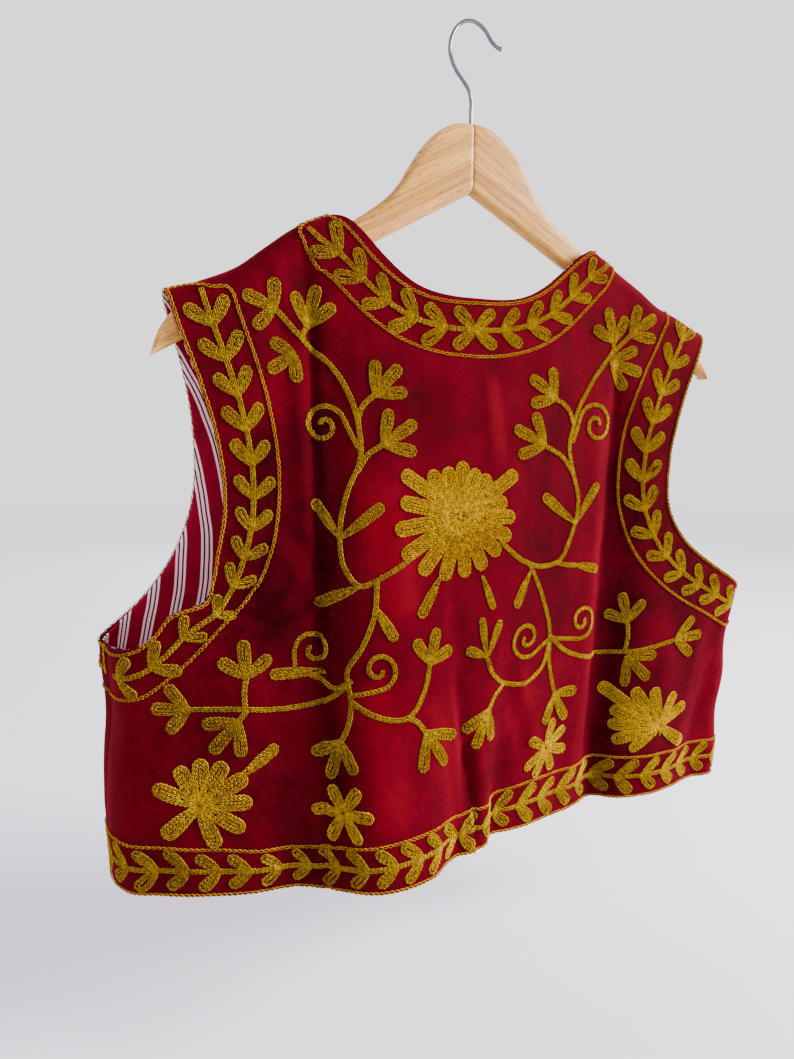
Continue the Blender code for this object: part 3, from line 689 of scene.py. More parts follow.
def quad_mesh(name, points, quads):
    """Mesh of four-sided faces from points in centimetres."""
    mesh = bpy.data.meshes.new(name)
    mesh.vertices.add(len(points))
    mesh.vertices.foreach_set("co", (points * CM).astype(np.float32).ravel())
    mesh.loops.add(4 * len(quads))
    mesh.loops.foreach_set("vertex_index", quads.astype(np.int32).ravel())
    mesh.polygons.add(len(quads))
    mesh.polygons.foreach_set("loop_start", np.arange(0, 4 * len(quads), 4, dtype=np.int32))
    mesh.update(calc_edges=True)
    mesh.shade_smooth()
    return mesh


def piece(name, mesh, finish):
    """A named object of the waistcoat, which rides on the one body and takes its finish from a slot."""
    made = bpy.data.objects.new(name, mesh)
    mesh.materials.append(finish)
    bpy.context.scene.collection.objects.link(made)
    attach(made, "root")
    return made


def shell(name, face, outward, near, far, plan, nap=None):
    """Closed wall between a grid's face moved in by near and by far, rounded over at its edges.

    The depth of the outer side is near plus half the wall times the roll, and of the inner side far less
    the same. The roll is 1 on the border, where both sides share their points, and 0 a little way in. plan
    is the (p, h) grid, and nap the painted shade and light on it, with the pile's tone.
    """
    rows, columns = face.shape[:2]
    count = rows * columns
    ends = len(ROLL_DEPTHS)
    roll_up, roll_across = np.zeros(rows), np.zeros(columns)
    for roll in (roll_up, roll_across):
        roll[:ends] = ROLL_DEPTHS
        roll[-ends:] = ROLL_DEPTHS[::-1]
    roll = np.maximum(roll_up[:, None], roll_across[None, :])[..., None] * (far - near) / 2
    index = np.arange(count).reshape(rows, columns)
    border = np.ones((rows, columns), bool)
    border[1:-1, 1:-1] = False
    inside = np.where(border, index, index + count)
    sides = []
    for grid, order in ((index, 1), (inside, -1)):
        corners = [grid[:-1, :-1], grid[:-1, 1:], grid[1:, 1:], grid[1:, :-1]][::order]
        sides.append(np.stack([corner.ravel() for corner in corners], axis=1))
    depths = (near + roll, far - roll)
    points = np.concatenate([(face - outward * depth).reshape(-1, 3) for depth in depths])
    used, quads = np.unique(np.concatenate(sides), return_inverse=True)
    quads = quads.reshape(-1, 4)
    mesh = quad_mesh(name, points[used], quads)
    flat = np.tile(plan.reshape(-1, 2), (2, 1))[used] * CM
    layer = mesh.uv_layers.new(name="cut")
    layer.data.foreach_set("uv", flat[quads.ravel()].astype(np.float32).ravel())
    if nap is not None:
        # painted shade and painted light along the folds, kept as a point attribute for the velvet's colour
        tones = mesh.attributes.new("nap", "FLOAT", "POINT")
        tones.data.foreach_set("value", np.tile(nap.ravel(), 2)[used].astype(np.float32))
    return mesh


# ---------------------------------------------------------------- velvet and lining

# Columns of a grid, on the back over a shoulder and over the neck, and rows up the seam, the armhole and
# over the shoulder.
VELVET_GRID = {BACK: ((46, 94), (46, 92, 13)), **dict.fromkeys(FRONTS, (80, (38, 78, 12)))}
LINING_GRID = {BACK: ((24, 50), (26, 48, 9)), **dict.fromkeys(FRONTS, (48, (26, 48, 9)))}
# The lining hangs a little slack between its sewn edges: wave length, angle and shift of each slack wave.
SLACK = ((6.1, 35.0, 0.7), (4.2, 121.0, 2.6))
SLACK_DEPTH = 0.16
SLACK_TOP = 2.5  # it begins this far below the shoulder fold
SLACK_EDGE = 0.06  # share of the panel over which the slack dies away at its edges


def panel_grid(panel, fineness):
    """Grid of (p, h) over a panel, turned so that its faces look outwards."""
    columns, rows = fineness[panel]
    if panel == BACK:
        return back_grid(columns, rows)
    plan = front_grid(panel, columns, rows)
    return plan[:, ::-1] if panel == "front_right" else plan


def slack(plan):
    """Depth to which the lining sags inwards: waves in (p, h), none at the edges."""
    p, h = plan[..., 0], plan[..., 1]
    waves = np.zeros(p.shape)
    for length, angle, shift in SLACK:
        waves += 0.5 + 0.5 * wave(p, h, length, angle, shift)
    shares = [np.linspace(0.0, 1.0, count) for count in p.shape]
    hold = [fade(np.minimum(share, 1 - share) / SLACK_EDGE) for share in shares]
    below_arm = fade((shoulder_z(np.abs(p)) - SLACK_TOP - h) / TOP_HOLD)
    return SLACK_DEPTH * waves / len(SLACK) * hold[0][:, None] * hold[1][None, :] * below_arm


def velvet_piece(panel, finish):
    """One cut piece of velvet in place of its solid."""
    plan = panel_grid(panel, VELVET_GRID)
    p, h = plan[..., 0], plan[..., 1]
    outward = normal_of(cloth, panel, p, h)
    # Painted shade and painted light along the folds, with some lay of the pile, from the strokes.
    nap = strokes(NAP_AND_PAINTED_SHADING[panel], p, h)
    mesh = shell(f"velvet_{panel}", cloth(panel, p, h), outward, 0.0, VELVET, plan, nap)
    made = piece(f"velvet_{panel}", mesh, finish)
    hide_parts(panel)
    return made


def lining_piece(panel, finish):
    """The lining behind one cut piece, slack between its edges, in place of its solid."""
    plan = panel_grid(panel, LINING_GRID)
    p, h = plan[..., 0], plan[..., 1]
    outward = normal_of(worn, panel, p, h)
    face = cloth(panel, p, h, under=True) - outward * slack(plan)[..., None]
    near = VELVET + LAYER_GAP
    mesh = shell(f"striped_lining_{panel}", face, outward, near, near + LINING / 2, plan)
    made = piece(f"striped_lining_{panel}", mesh, finish)
    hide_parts(f"lining_{panel}")
    return made


# ---------------------------------------------------------------- chain stitch

LINK_PITCH = 0.29  # from one link to the next along a row
LINK_HALF = 0.072  # from a row's middle to the thread's middle, at a link's widest
LINK_REACH = 0.58  # half a link's length, in pitches
THREAD = 0.043  # radius of the thread
ROW = 0.215  # from one row to the next where rows fill a shape
LINK_POINTS = 6
THREAD_SIDES = 3
LINK_PLACE_SPREAD = 0.07  # a link is moved along its row at random by up to this, in pitches
LINK_WIDTH_SPREAD = (0.88, 1.14)
LINK_SIDE_SPREAD = 0.012
LINK_HEIGHT_SPREAD = 0.008
LINK_BASE = 0.055  # height of the thread's middle over the velvet
LINK_RISE = 0.040  # how much higher a link's front end is, where it lies on the next one
EDGE_IN = 0.14  # from a cut edge to the row along it
LEAST_ROW = 0.075  # a loop of rows narrower than this becomes one row
CLEAR = 0.95  # a point beside an edge is kept if at least this share of its distance is left
STEM_HALF = 0.084  # from a stem's middle to the middle of each of its two rows
CURL_HALF = 0.066  # the same in a curl
CURL_END = 0.24  # radius at which a curl ends
LINE_SIZE = 1.22  # the stitches of the lines along the edges are larger by this
LOBE_WIDTH = 0.92
LOBE_CLOSED = 0.15  # in a lobe, half the distance between a loop's sides where it starts, in rows
LEAF_BREADTH = 0.44  # width of a band's lobes, in their length
LEAF_BEND = 0.12  # how far a band's lobe bends back over its length
LEAF_LEAN_SPREAD = 5.0  # a band's lobe leans more or less at random by up to this, in degrees
LEAF_LENGTH_SPREAD = (0.94, 1.06)
SIDE_LOBE = 0.85  # length of a sprig's side lobes, in its middle one's
LEAN = 43.0  # angle of a band's lobes from the way that its stem runs
MIDDLE = 0.52  # a band's stem lies at this share of the way from its outer row to its inner one
EVEN = ((0.0, 0.0), (1.0, 1.0))  # a pace that changes nothing
chance = np.random.default_rng(7)


def club(root, heading, length, width, neck=0.40, bend=0.0):
    """Rows that fill a club-shaped lobe: loops one inside the other, up one side, round the tip and down.

    Half the width is the tip's radius times a sine that rises from the neck's share at the root. A loop
    starts where the one round it leaves room for it, its two sides closed up at first. bend carries the
    lobe sideways by its amount times the square of the share of the length.
    """
    radius = width / 2
    straight = max(length - radius, 0.3)
    s = np.linspace(0.0, straight, 16)
    half = radius * (neck + (1 - neck) * np.sin(np.clip(s / (0.8 * straight), 0.0, 1.0) * math.pi / 2))
    turn = np.linspace(math.pi / 2, -math.pi / 2, 11)[1:-1]
    rows = []
    inset = ROW / 2
    while radius - inset > LEAST_ROW:
        left = radius - inset
        room = half - inset > (0.0 if not rows else LOBE_CLOSED * ROW - ROW / 2)
        side = np.stack([s[room], np.maximum(half - inset, LOBE_CLOSED * ROW)[room]], axis=1)
        tip = np.stack([straight + left * np.cos(turn), left * np.sin(turn)], axis=1)
        rows.append(np.concatenate([side, tip, side[::-1] * [1, -1]]))
        inset += ROW
    # One more row down the middle, where the room left is nearly enough for it.
    if radius - inset > -0.62 * LEAST_ROW:
        room = s[half - inset > -0.36 * ROW]
        rows.append(np.array([(room[0], 0.0), (straight + 0.5 * max(radius - inset, 0.0), 0.0)]))
    angle = math.radians(heading)
    ahead = np.array([math.cos(angle), math.sin(angle)])
    aside = np.array([-ahead[1], ahead[0]])
    placed = []
    for row in rows:
        across = row[:, 1] + bend * (row[:, 0] / length) ** 2
        placed.append(np.array(root) + row[:, :1] * ahead + across[:, None] * aside)
    return placed


def stem(points):
    """Two rows side by side along a smooth line through a few points."""
    line = through(points)
    return [beside(line, STEM_HALF), beside(line, -STEM_HALF)]


def sprig(p, h, heading, size, spread):
    """Three lobes from one root: a long one ahead, and one to each side."""
    rows = []
    for turn, share in ((0.0, 1.0), (spread, SIDE_LOBE), (-spread, SIDE_LOBE)):
        rows += club((p, h), heading + turn, size * share, LOBE_WIDTH)
    return rows


def curl(p, h, centre_p, centre_h, loop, turns):
    """Two rows that run straight from (p, h) up to a circle round a centre and wind in.

    turns is negative clockwise. On the straight part the distance to the centre is the loop's radius over
    the cosine of the angle still to go. After it the radius falls evenly from the loop's to CURL_END.
    """
    start = np.array([p - centre_p, h - centre_h])
    way = 1 if turns > 0 else -1
    lead = math.acos(loop / np.hypot(*start))
    first = lead * np.linspace(0.0, 1.0, 20) ** 0.6
    whole = abs(turns) * 2 * math.pi
    swept = np.concatenate([first[:-1], lead + np.linspace(0.0, whole, 60)])
    wound = np.clip((swept - lead) / whole, 0.0, 1.0)
    straight = loop / np.cos(lead - np.minimum(swept, lead))
    radius = np.where(swept < lead, straight, loop + (CURL_END - loop) * wound)
    angle = math.atan2(start[1], start[0]) + way * swept
    line = np.stack([centre_p + radius * np.cos(angle), centre_h + radius * np.sin(angle)], axis=1)
    return [beside(line, CURL_HALF), beside(line, -CURL_HALF)]


def vine(line, widths, count, forward=1, ends=(0.3, 0.7), share=0.50, pace=EVEN):
    """A stem along a line with a count of pairs of lobes that lean forwards; forward -1 runs it backwards.

    ends are the distances before the first pair and past the last, in pitches, and pace says which share
    of the length an even share becomes. share is a lobe's length in the band's width, or that at the first
    pair and at the last.
    """
    line = line[::forward]
    reach = lengths(line)
    at = (ends[0] + np.arange(count)) / (ends[0] + count - 1 + ends[1])
    at = smooth(*np.array(pace).T, at) * reach[-1]
    size = np.interp(at, reach, widths[::forward]) * np.linspace(*np.broadcast_to(share, 2), count)
    roots = at_lengths(line, at)
    ahead = at_lengths(line, at + 0.3) - at_lengths(line, at - 0.3)
    headings = np.degrees(np.arctan2(ahead[:, 1], ahead[:, 0]))
    middle = at_lengths(line, np.linspace(0.0, reach[-1], 3 * count))
    rows = [beside(middle, STEM_HALF), beside(middle, -STEM_HALF)]
    for root, heading, width in zip(roots, headings, size):
        for side in (-1, 1):
            lean = side * (LEAN + chance.uniform(-LEAF_LEAN_SPREAD, LEAF_LEAN_SPREAD))
            length = width * chance.uniform(*LEAF_LENGTH_SPREAD)
            rows += club(root, heading + lean, length, LEAF_BREADTH * length, bend=-side * LEAF_BEND)
    return rows


def carried_to(row, seam):
    """The row carried on level from its first point to a seam given from the hem up."""
    p = np.interp(row[0, 1], seam[:, 1], seam[:, 0])
    return np.concatenate([[[p, row[0, 1]]], row])


def up_to_shoulder(row):
    """The back's row carried straight on from its last point, nearly to the shoulder seam."""
    way = row[-1] - row[-6]
    more = row[-1] + np.outer(np.arange(0.1, 4.0, 0.1), way / np.hypot(*way))
    return np.concatenate([row, more[more[:, 1] < shoulder_z(more[:, 0]) - EDGE_IN]])


def clear_of(edge, line, distance):
    """Which of a line's points keep their distance from the edge. Near an inner corner some don't."""
    nearest = np.linalg.norm(line[:, None] - edge[None], axis=-1).min(axis=1)
    return nearest > CLEAR * distance


def band(edge, inward, widths, count, closed=(False, False), from_edge=EDGE_IN, end_share=0.07, seam=None,
         **how):
    """A band along a cut edge: a row along the edge, one along its inner side, and a vine between them.

    widths are (share of the edge, width) pairs. At a closed end the inner row comes round to the edge: its
    width is multiplied by the root of 1 - t^2, where t goes from 0 to 1 over the end's share. The inner row
    starts from the side seam, where that is given, and an open far end then runs up to the shoulder.
    """
    edge = along(edge, np.linspace(0.0, 1.0, BAND_POINTS))
    share = lengths(edge) / lengths(edge)[-1]
    width = smooth(*np.array(widths, float).T, share)
    shut = np.ones(len(share))
    for end, distance in zip(closed, (share, 1 - share)):
        if end:
            shut *= np.sqrt(np.clip(1 - np.clip(1 - distance / end_share, 0.0, 1.0) ** 2, 0.0, 1.0))
    depth = np.maximum(width * shut, from_edge)
    inner = beside(edge, inward * depth)
    inner = inner[clear_of(edge, inner, depth)]
    if seam is not None:
        inner = carried_to(inner, seam) if closed[1] else up_to_shoulder(carried_to(inner, seam))
    lines = [beside(edge, inward * from_edge), inner]
    low = end_share * 0.3 if closed[0] else 0.01
    high = 1 - end_share * 0.3 if closed[1] else 0.99
    depth = from_edge + (width - from_edge) * MIDDLE
    middle = beside(edge, inward * depth)
    keep = (share > low) & (share < high) & clear_of(edge, middle, depth)
    return lines, vine(middle[keep], width[keep], count, **how)


def links(panel, rows, spacing, size):
    """Middle line of the thread for every link of the rows, and the velvet's normal there.

    A link is a closed drop shape. At angle a its place along the row is -reach times cos a, its place
    across is sin a times a width that grows to the front, and its height rises from its rear to its front.
    """
    angle = np.arange(LINK_POINTS) / LINK_POINTS * 2 * math.pi
    drop_along = -np.cos(angle)
    drop_across = 1.22 * np.sin(angle) * (0.74 - 0.34 * np.cos(angle))
    places, middles, heights = [], [], []
    for row in rows:
        reach = lengths(row)
        total = reach[-1]
        if total < spacing:
            continue
        count = max(1, int(round(total / spacing)))
        pitch = total / count
        moved = chance.uniform(-LINK_PLACE_SPREAD, LINK_PLACE_SPREAD, count)
        at = (np.arange(count) + 0.5 + moved) * pitch
        half = size * LINK_HALF * chance.uniform(*LINK_WIDTH_SPREAD, count)
        wobble = chance.uniform(-LINK_SIDE_SPREAD, LINK_SIDE_SPREAD, count)
        s = at[:, None] + drop_along * LINK_REACH * pitch
        here = at_lengths(row, s)
        way = at_lengths(row, s + 0.04) - at_lengths(row, s - 0.04)
        way /= np.linalg.norm(way, axis=-1, keepdims=True) + 1e-9
        aside = np.stack([-way[..., 1], way[..., 0]], axis=-1)
        across = half[:, None] * drop_across + wobble[:, None]
        beyond = s - np.clip(s, 0.0, total)
        places.append(here + aside * across[..., None] + way * beyond[..., None])
        middles.append(at_lengths(row, at))
        raised = chance.uniform(-LINK_HEIGHT_SPREAD, LINK_HEIGHT_SPREAD, count)[:, None]
        heights.append(LINK_BASE + LINK_RISE * drop_along + 0 * s + raised)
    places, middles, heights = (np.concatenate(part) for part in (places, middles, heights))
    outward = normal_of(cloth, panel, middles[:, 0], middles[:, 1])[:, None, :]
    lines = cloth(panel, places[..., 0], places[..., 1]) + outward * heights[..., None]
    return lines, outward


def stitching(name, panel, rows, finish, spacing=LINK_PITCH, size=1.0):
    """Chain stitch along the rows: each link's thread is a closed tube round its middle line."""
    lines, outward = links(panel, rows, spacing, size)
    tangent = np.roll(lines, -1, axis=1) - np.roll(lines, 1, axis=1)
    tangent /= np.linalg.norm(tangent, axis=-1, keepdims=True) + 1e-9
    side = np.cross(tangent, np.broadcast_to(outward, tangent.shape))
    side /= np.linalg.norm(side, axis=-1, keepdims=True) + 1e-9
    over = np.cross(side, tangent)
    turn = math.pi / 2 + np.arange(THREAD_SIDES) / THREAD_SIDES * 2 * math.pi
    ring = np.cos(turn)[:, None] * side[:, :, None, :] + np.sin(turn)[:, None] * over[:, :, None, :]
    points = lines[:, :, None, :] + THREAD * (0.5 + 0.5 * size) * ring
    index = np.arange(points[..., 0].size).reshape(points.shape[:3])
    ahead = np.roll(index, -1, axis=1)
    quads = np.stack([index, ahead, np.roll(ahead, -1, axis=2), np.roll(index, -1, axis=2)], axis=-1)
    return piece(name, quad_mesh(name, points.reshape(-1, 3), quads.reshape(-1, 4)), finish)


# ---------------------------------------------------------------- the embroidery on the back

# Sprigs: the root, the way the middle lobe points, its length and the angle to the side lobes.
BACK_SPRIGS = (
    # p      h      heading size spread
    (-14.6, -21.2, 158, 2.3, 66),
    (-12.4, -22.2, 76, 2.8, 38),
    (-13.3, -24.1, 212, 2.2, 60),
    (-7.9, -26.6, 46, 2.8, 41),
    (-7.5, -30.0, 32, 3.0, 44),
    (-21.4, -47.5, 178, 2.6, 48),
    (-17.5, -45.4, 92, 2.5, 54),
    (-18.2, -48.4, 227, 2.9, 43),
    (-11.3, -50.1, 248, 2.8, 44),
    (-4.6, -45.1, 74, 2.5, 50),
    (-5.1, -49.9, -56, 3.3, 41),
    (12.3, -22.0, 108, 2.7, 46),
    (13.8, -21.4, 34, 2.9, 39),
    (12.1, -23.5, -15, 3.1, 39),
    (6.8, -26.5, 146, 2.8, 45),
    (5.8, -30.0, 155, 3.1, 42),
    (20.5, -46.4, 5, 3.1, 40),
    (15.6, -44.5, 108, 2.6, 52),
    (15.9, -47.5, -42, 3.2, 42),
    (0.8, -49.4, 246, 3.0, 34),
    (8.0, -49.6, -55, 3.0, 52),
)
# Single lobes: the root, the way it points, its length and its width.
BACK_LEAVES = (
    # p      h      heading length width
    (-9.4, -39.5, 201, 3.6, 0.85),
    (-10.7, -36.3, 124, 3.2, 0.80),
    (-10.7, -36.3, 36, 3.8, 0.85),
    (-8.5, -40.9, -60, 2.8, 0.80),
    (-12.2, -45.4, 180, 3.8, 0.85),
    (9.2, -39.3, -12, 2.7, 0.80),
    (8.9, -36.0, 145, 4.0, 0.85),
    (8.9, -36.0, 52, 3.9, 0.80),
    (4.4, -39.4, -119, 3.0, 0.80),
    (0.4, -45.4, 99, 3.1, 0.64),
    (0.5, -45.4, 68, 2.9, 0.62),
    (0.3, -45.3, 158, 1.8, 0.80),
    (-3.6, -39.2, -122, 3.2, 0.80),
    (-0.1, -39.2, -69, 2.9, 0.62),
)
BACK_STEMS = (
    ((-5.5, -37.6), (-8.0, -39.0), (-9.5, -39.5), (-10.5, -38.2), (-10.7, -36.2), (-10.0, -33.0),
     (-9.1, -31.0), (-9.1, -28.9), (-9.6, -26.8), (-10.6, -25.0), (-12.5, -23.3), (-14.6, -21.2)),
    ((-9.3, -31.8), (-8.6, -30.7), (-7.5, -30.0)),
    ((-9.2, -28.4), (-8.8, -27.4), (-7.9, -26.6)),
    ((-12.6, -23.2), (-12.7, -22.8), (-12.4, -22.2)),
    ((-8.3, -39.2), (-8.5, -41.3), (-9.4, -43.5), (-10.6, -45.4), (-10.4, -47.4), (-10.7, -49.0),
     (-11.3, -50.1)),
    ((-10.5, -46.2), (-12.2, -47.3), (-15.4, -47.8), (-18.0, -47.6), (-21.4, -47.5)),
    ((-17.7, -47.5), (-17.7, -46.5), (-17.5, -45.4)),
    ((-17.5, -47.6), (-18.2, -48.4)),
    ((-10.3, -45.9), (-11.5, -46.5), (-12.3, -46.1), (-13.2, -45.6)),
    ((-10.4, -47.3), (-8.8, -48.3), (-6.4, -48.6), (-5.2, -47.2), (-4.6, -45.1)),
    ((-6.5, -48.6), (-5.7, -49.1), (-5.1, -49.9)),
    ((1.4, -36.9), (3.8, -38.6), (5.6, -39.1), (7.4, -38.8), (8.3, -37.5), (8.9, -35.9), (9.2, -34.0),
     (8.7, -32.2), (8.2, -30.2), (8.6, -28.3), (10.0, -25.6), (11.8, -23.3), (13.8, -21.4)),
    ((7.0, -38.9), (8.2, -39.2), (9.2, -39.3)),
    ((8.7, -32.2), (7.4, -30.8), (5.8, -30.0)),
    ((8.6, -28.5), (8.0, -27.2), (6.8, -26.5)),
    ((11.9, -23.2), (12.2, -22.8), (12.3, -22.0)),
    ((4.4, -39.0), (5.4, -40.6), (6.2, -42.4), (6.8, -44.5), (6.9, -46.2), (7.4, -48.0), (8.0, -49.5)),
    ((6.8, -44.6), (8.5, -46.0), (10.4, -46.8), (15.8, -47.1), (20.5, -46.4)),
    ((15.7, -47.0), (15.8, -45.8), (15.6, -44.5)),
    ((6.8, -45.2), (6.3, -47.0), (4.8, -47.9), (2.2, -47.6), (1.0, -46.7), (0.4, -45.3)),
    ((2.4, -47.7), (1.4, -48.4), (0.8, -49.4)),
)
BACK_CURLS = (
    # p      h     centre p, h   loop  turns
    (-9.2, -30.2, -11.5, -28.7, 1.45, 1.35),
    (-14.2, -45.3, -12.9, -43.9, 1.35, -1.15),
    (-10.3, -46.9, -8.4, -45.2, 1.35, 1.20),
    (8.5, -29.8, 10.9, -28.4, 1.75, -1.45),
    (6.7, -44.9, 4.3, -44.5, 1.55, -1.40),
    (7.2, -44.9, 10.4, -43.9, 1.50, 1.35),
)
# Petals round the big flower: the way each points and its length.
FLOWER_PETALS = (
    (146, 5.6), (128, 4.1), (109, 3.7), (88, 3.9), (69, 3.6), (51, 3.7), (33, 5.6), (15, 3.9), (-3, 4.5),
    (-23, 4.4), (-44, 4.2), (-67, 4.3), (-89, 4.4), (-111, 4.8), (-132, 5.3), (-151, 5.6), (-171, 5.4),
    (167, 5.0),
)
FLOWER_CENTRE = (-1.6, -35.0)
PETAL_WIDTH = 1.12
# Fans near the sides: the way each petal points and its length; the long one ends in a drop.
LEFT_FAN = (
    (153, 3.2), (112, 3.0), (82, 3.3), (56, 3.6), (30, 3.9), (3, 3.6), (-31, 3.4), (-72, 3.1), (-140, 3.3),
)
LEFT_FAN_CENTRE = (-21.3, -54.1)
LEFT_FAN_DROP = (-18.4, -52.2, 35, 3.3, 0.85)
RIGHT_FAN = (
    (147, 7.3), (159, 5.2), (174, 4.9), (193, 4.4), (218, 3.2), (-32, 4.0), (30, 3.3), (66, 3.2),
    (108, 3.8), (131, 4.8),
)
RIGHT_FAN_CENTRE = (20.1, -54.0)
SMALL_FLOWERS = (
    ((-11.5, -55.0), ((-5, 2.2), (54, 2.2), (112, 2.1), (176, 2.3), (238, 2.3), (298, 2.3))),
    ((7.8, -54.1), ((78, 2.5), (34, 2.5), (-14, 2.5), (-64, 2.3), (-113, 2.5), (-150, 2.6), (150, 2.4))),
)


def leaf(p, h, heading, length, width):
    """A single lobe with a narrow root."""
    return club((p, h), heading, length, width, neck=0.3)


def rosette(centre, petals, width, start=0.3, spokes=8, neck=0.5):
    """Club-shaped petals round a centre, each from a little way out, and short spokes in the middle.

    neck is the share of its width that a petal has at its root.
    """
    rows = []
    for heading, length in petals:
        angle = math.radians(heading)
        root = (centre[0] + start * math.cos(angle), centre[1] + start * math.sin(angle))
        rows += club(root, heading, length - start, width, neck=neck)
    for angle in np.arange(spokes) / spokes * 2 * math.pi + 0.1:
        way = np.array([math.cos(angle), math.sin(angle)])
        rows.append(np.array(centre) + np.outer((0.10, start + 0.55), way))
    return rows


def back_motifs():
    """Rows of the vines, of the flowers and of the curls on the back."""
    vines, flowers = [], []
    for points in BACK_STEMS:
        vines += stem(points)
    for row in BACK_SPRIGS:
        vines += sprig(*row)
    for row in BACK_LEAVES:
        vines += leaf(*row)
    for row in BACK_CURLS:
        vines += curl(*row)
    flowers += rosette(FLOWER_CENTRE, FLOWER_PETALS, PETAL_WIDTH, 0.20, neck=0.15)
    flowers += rosette(LEFT_FAN_CENTRE, LEFT_FAN, 1.14, spokes=9)
    flowers += rosette(RIGHT_FAN_CENTRE, RIGHT_FAN, 1.12, spokes=9)
    flowers += leaf(*LEFT_FAN_DROP)
    for centre, petals in SMALL_FLOWERS:
        flowers += rosette(centre, petals, 0.90, 0.15, spokes=5)
    return vines, flowers


# Widths of the bands, by share of the edge.
NECK_BAND = ((0.0, 4.2), (0.12, 3.9), (0.3, 3.9), (0.5, 4.1), (0.8, 3.4), (1.0, 3.1))
# From the neck's edge to the row along it, by share of the edge.
NECK_EDGES = ((0.0, 0.45), (0.15, 0.75), (0.35, 0.50), (0.55, 0.34), (1.0, 0.24))
NECK_PAIRS = 6
ARM_LEFT_BAND = ((0.0, 3.65), (0.08, 4.1), (0.18, 3.5), (0.28, 2.85), (0.39, 3.3), (0.7, 3.9), (1.0, 4.0))
ARM_LEFT_PACE = ((0.0, 0.0), (0.25, 0.30), (0.5, 0.518), (0.75, 0.755), (1.0, 1.0))
ARM_RIGHT_BAND = ((0.0, 3.6), (0.35, 4.3), (0.65, 4.8), (1.0, 4.0))
HEM_BAND = (
    (0.0, 3.6), (0.12, 3.4), (0.25, 2.9), (0.42, 3.4), (0.5, 3.4), (0.6, 3.8), (0.75, 3.8), (1.0, 3.6),
)
HEM_MIDDLE = -1.6  # the hem's two vines part here
HEM_PAIRS = 14
ARM_PAIRS = 13


def back_bands():
    """Rows of the bands on the back, by name: the lines in one list and the vines in another."""
    found = {}
    share = np.linspace(0.0, 1.0, BAND_POINTS)
    edge = along(EDGES["neck"], share)
    from_edge = smooth(*np.array(NECK_EDGES).T, share)
    lines, _ = band(EDGES["neck"], -1, NECK_BAND, 2, (True, True), from_edge, 0.06)
    width = smooth(*np.array(NECK_BAND).T, share)
    middle = beside(edge, -(width + from_edge) / 2)
    rows = []
    for half, forward in ((slice(3, 80), -1), (slice(79, 157), 1)):
        rows += vine(middle[half], width[half], NECK_PAIRS, forward, (0.0, 1.12), share=0.54)
    found["neck"] = (lines, rows)
    found["arm_left"] = band(
        PLAIN_ARM_LEFT, -1, ARM_LEFT_BAND, ARM_PAIRS, (False, True), GATHER + EDGE_IN,
        seam=EDGES["seam_left"], ends=(0.20, 0.99), share=0.52, pace=ARM_LEFT_PACE)
    found["arm_right"] = band(
        EDGES["arm_right"], 1, ARM_RIGHT_BAND, ARM_PAIRS,
        seam=EDGES["seam_right"], ends=(0.15, 0.50), share=(0.55, 0.42))
    low = EDGES["seam_left"][0, 0]
    high = EDGES["seam_right"][0, 0]
    p = np.linspace(low, high, 240)
    hem = hem_edge(p)
    width = smooth(*np.array(HEM_BAND).T, (p - low) / (high - low))
    rows = []
    middle = beside(hem, EDGE_IN + (width - EDGE_IN) * MIDDLE)
    for half, forward in ((p < HEM_MIDDLE, -1), (p > HEM_MIDDLE, 1)):
        rows += vine(middle[half], width[half], HEM_PAIRS, forward, (0.0, 0.85), share=0.60)
    found["hem"] = ([beside(hem, EDGE_IN), beside(hem, width)], rows)
    return found


# ---------------------------------------------------------------- the embroidery on the fronts

FRONT_NECK_BAND = ((0.0, 3.4), (0.5, 3.6), (1.0, 3.0))
FRONT_ARM_BAND = ((0.0, 3.2), (0.4, 3.8), (0.7, 4.0), (1.0, 3.4))
FRONT_HEM_BAND = ((0.0, 3.6), (1.0, 3.6))
FRONT_SPRIGS = (
    # p    h      heading size spread
    (6.2, -33.5, 60, 3.0, 42),
    (9.2, -39.5, 30, 3.0, 44),
    (5.6, -44.0, 122, 2.8, 46),
    (15.4, -45.2, 96, 2.8, 46),
    (19.2, -48.5, 14, 3.0, 42),
    (14.9, -50.4, -58, 3.0, 44),
    (6.4, -51.0, 236, 2.8, 40),
)
FRONT_STEMS = (
    ((6.2, -33.5), (6.6, -36.5), (7.6, -39.2), (7.4, -42.0), (7.8, -45.0), (9.6, -47.4), (13.2, -48.4),
     (19.2, -48.5)),
    ((7.4, -39.0), (8.2, -39.0), (9.2, -39.5)),
    ((7.6, -43.2), (6.6, -43.2), (5.6, -44.0)),
    ((13.8, -48.4), (14.8, -47.2), (15.4, -45.2)),
    ((13.8, -48.5), (14.4, -49.2), (14.9, -50.4)),
    ((8.0, -45.6), (7.4, -48.6), (6.4, -51.0)),
)
# Flowers: the centre, the way the first petal points, a petal's length and how many there are.
FRONT_FLOWERS = ((11.6, -33.6, 15.0, 2.6, 8), (11.0, -54.4, 10.0, 2.0, 6))
FRONT_PITCH = 0.48
FRONT_EDGE_IN = 0.02
FRONT_NECK_PAIRS = 21
FRONT_HEM_PAIRS = 11


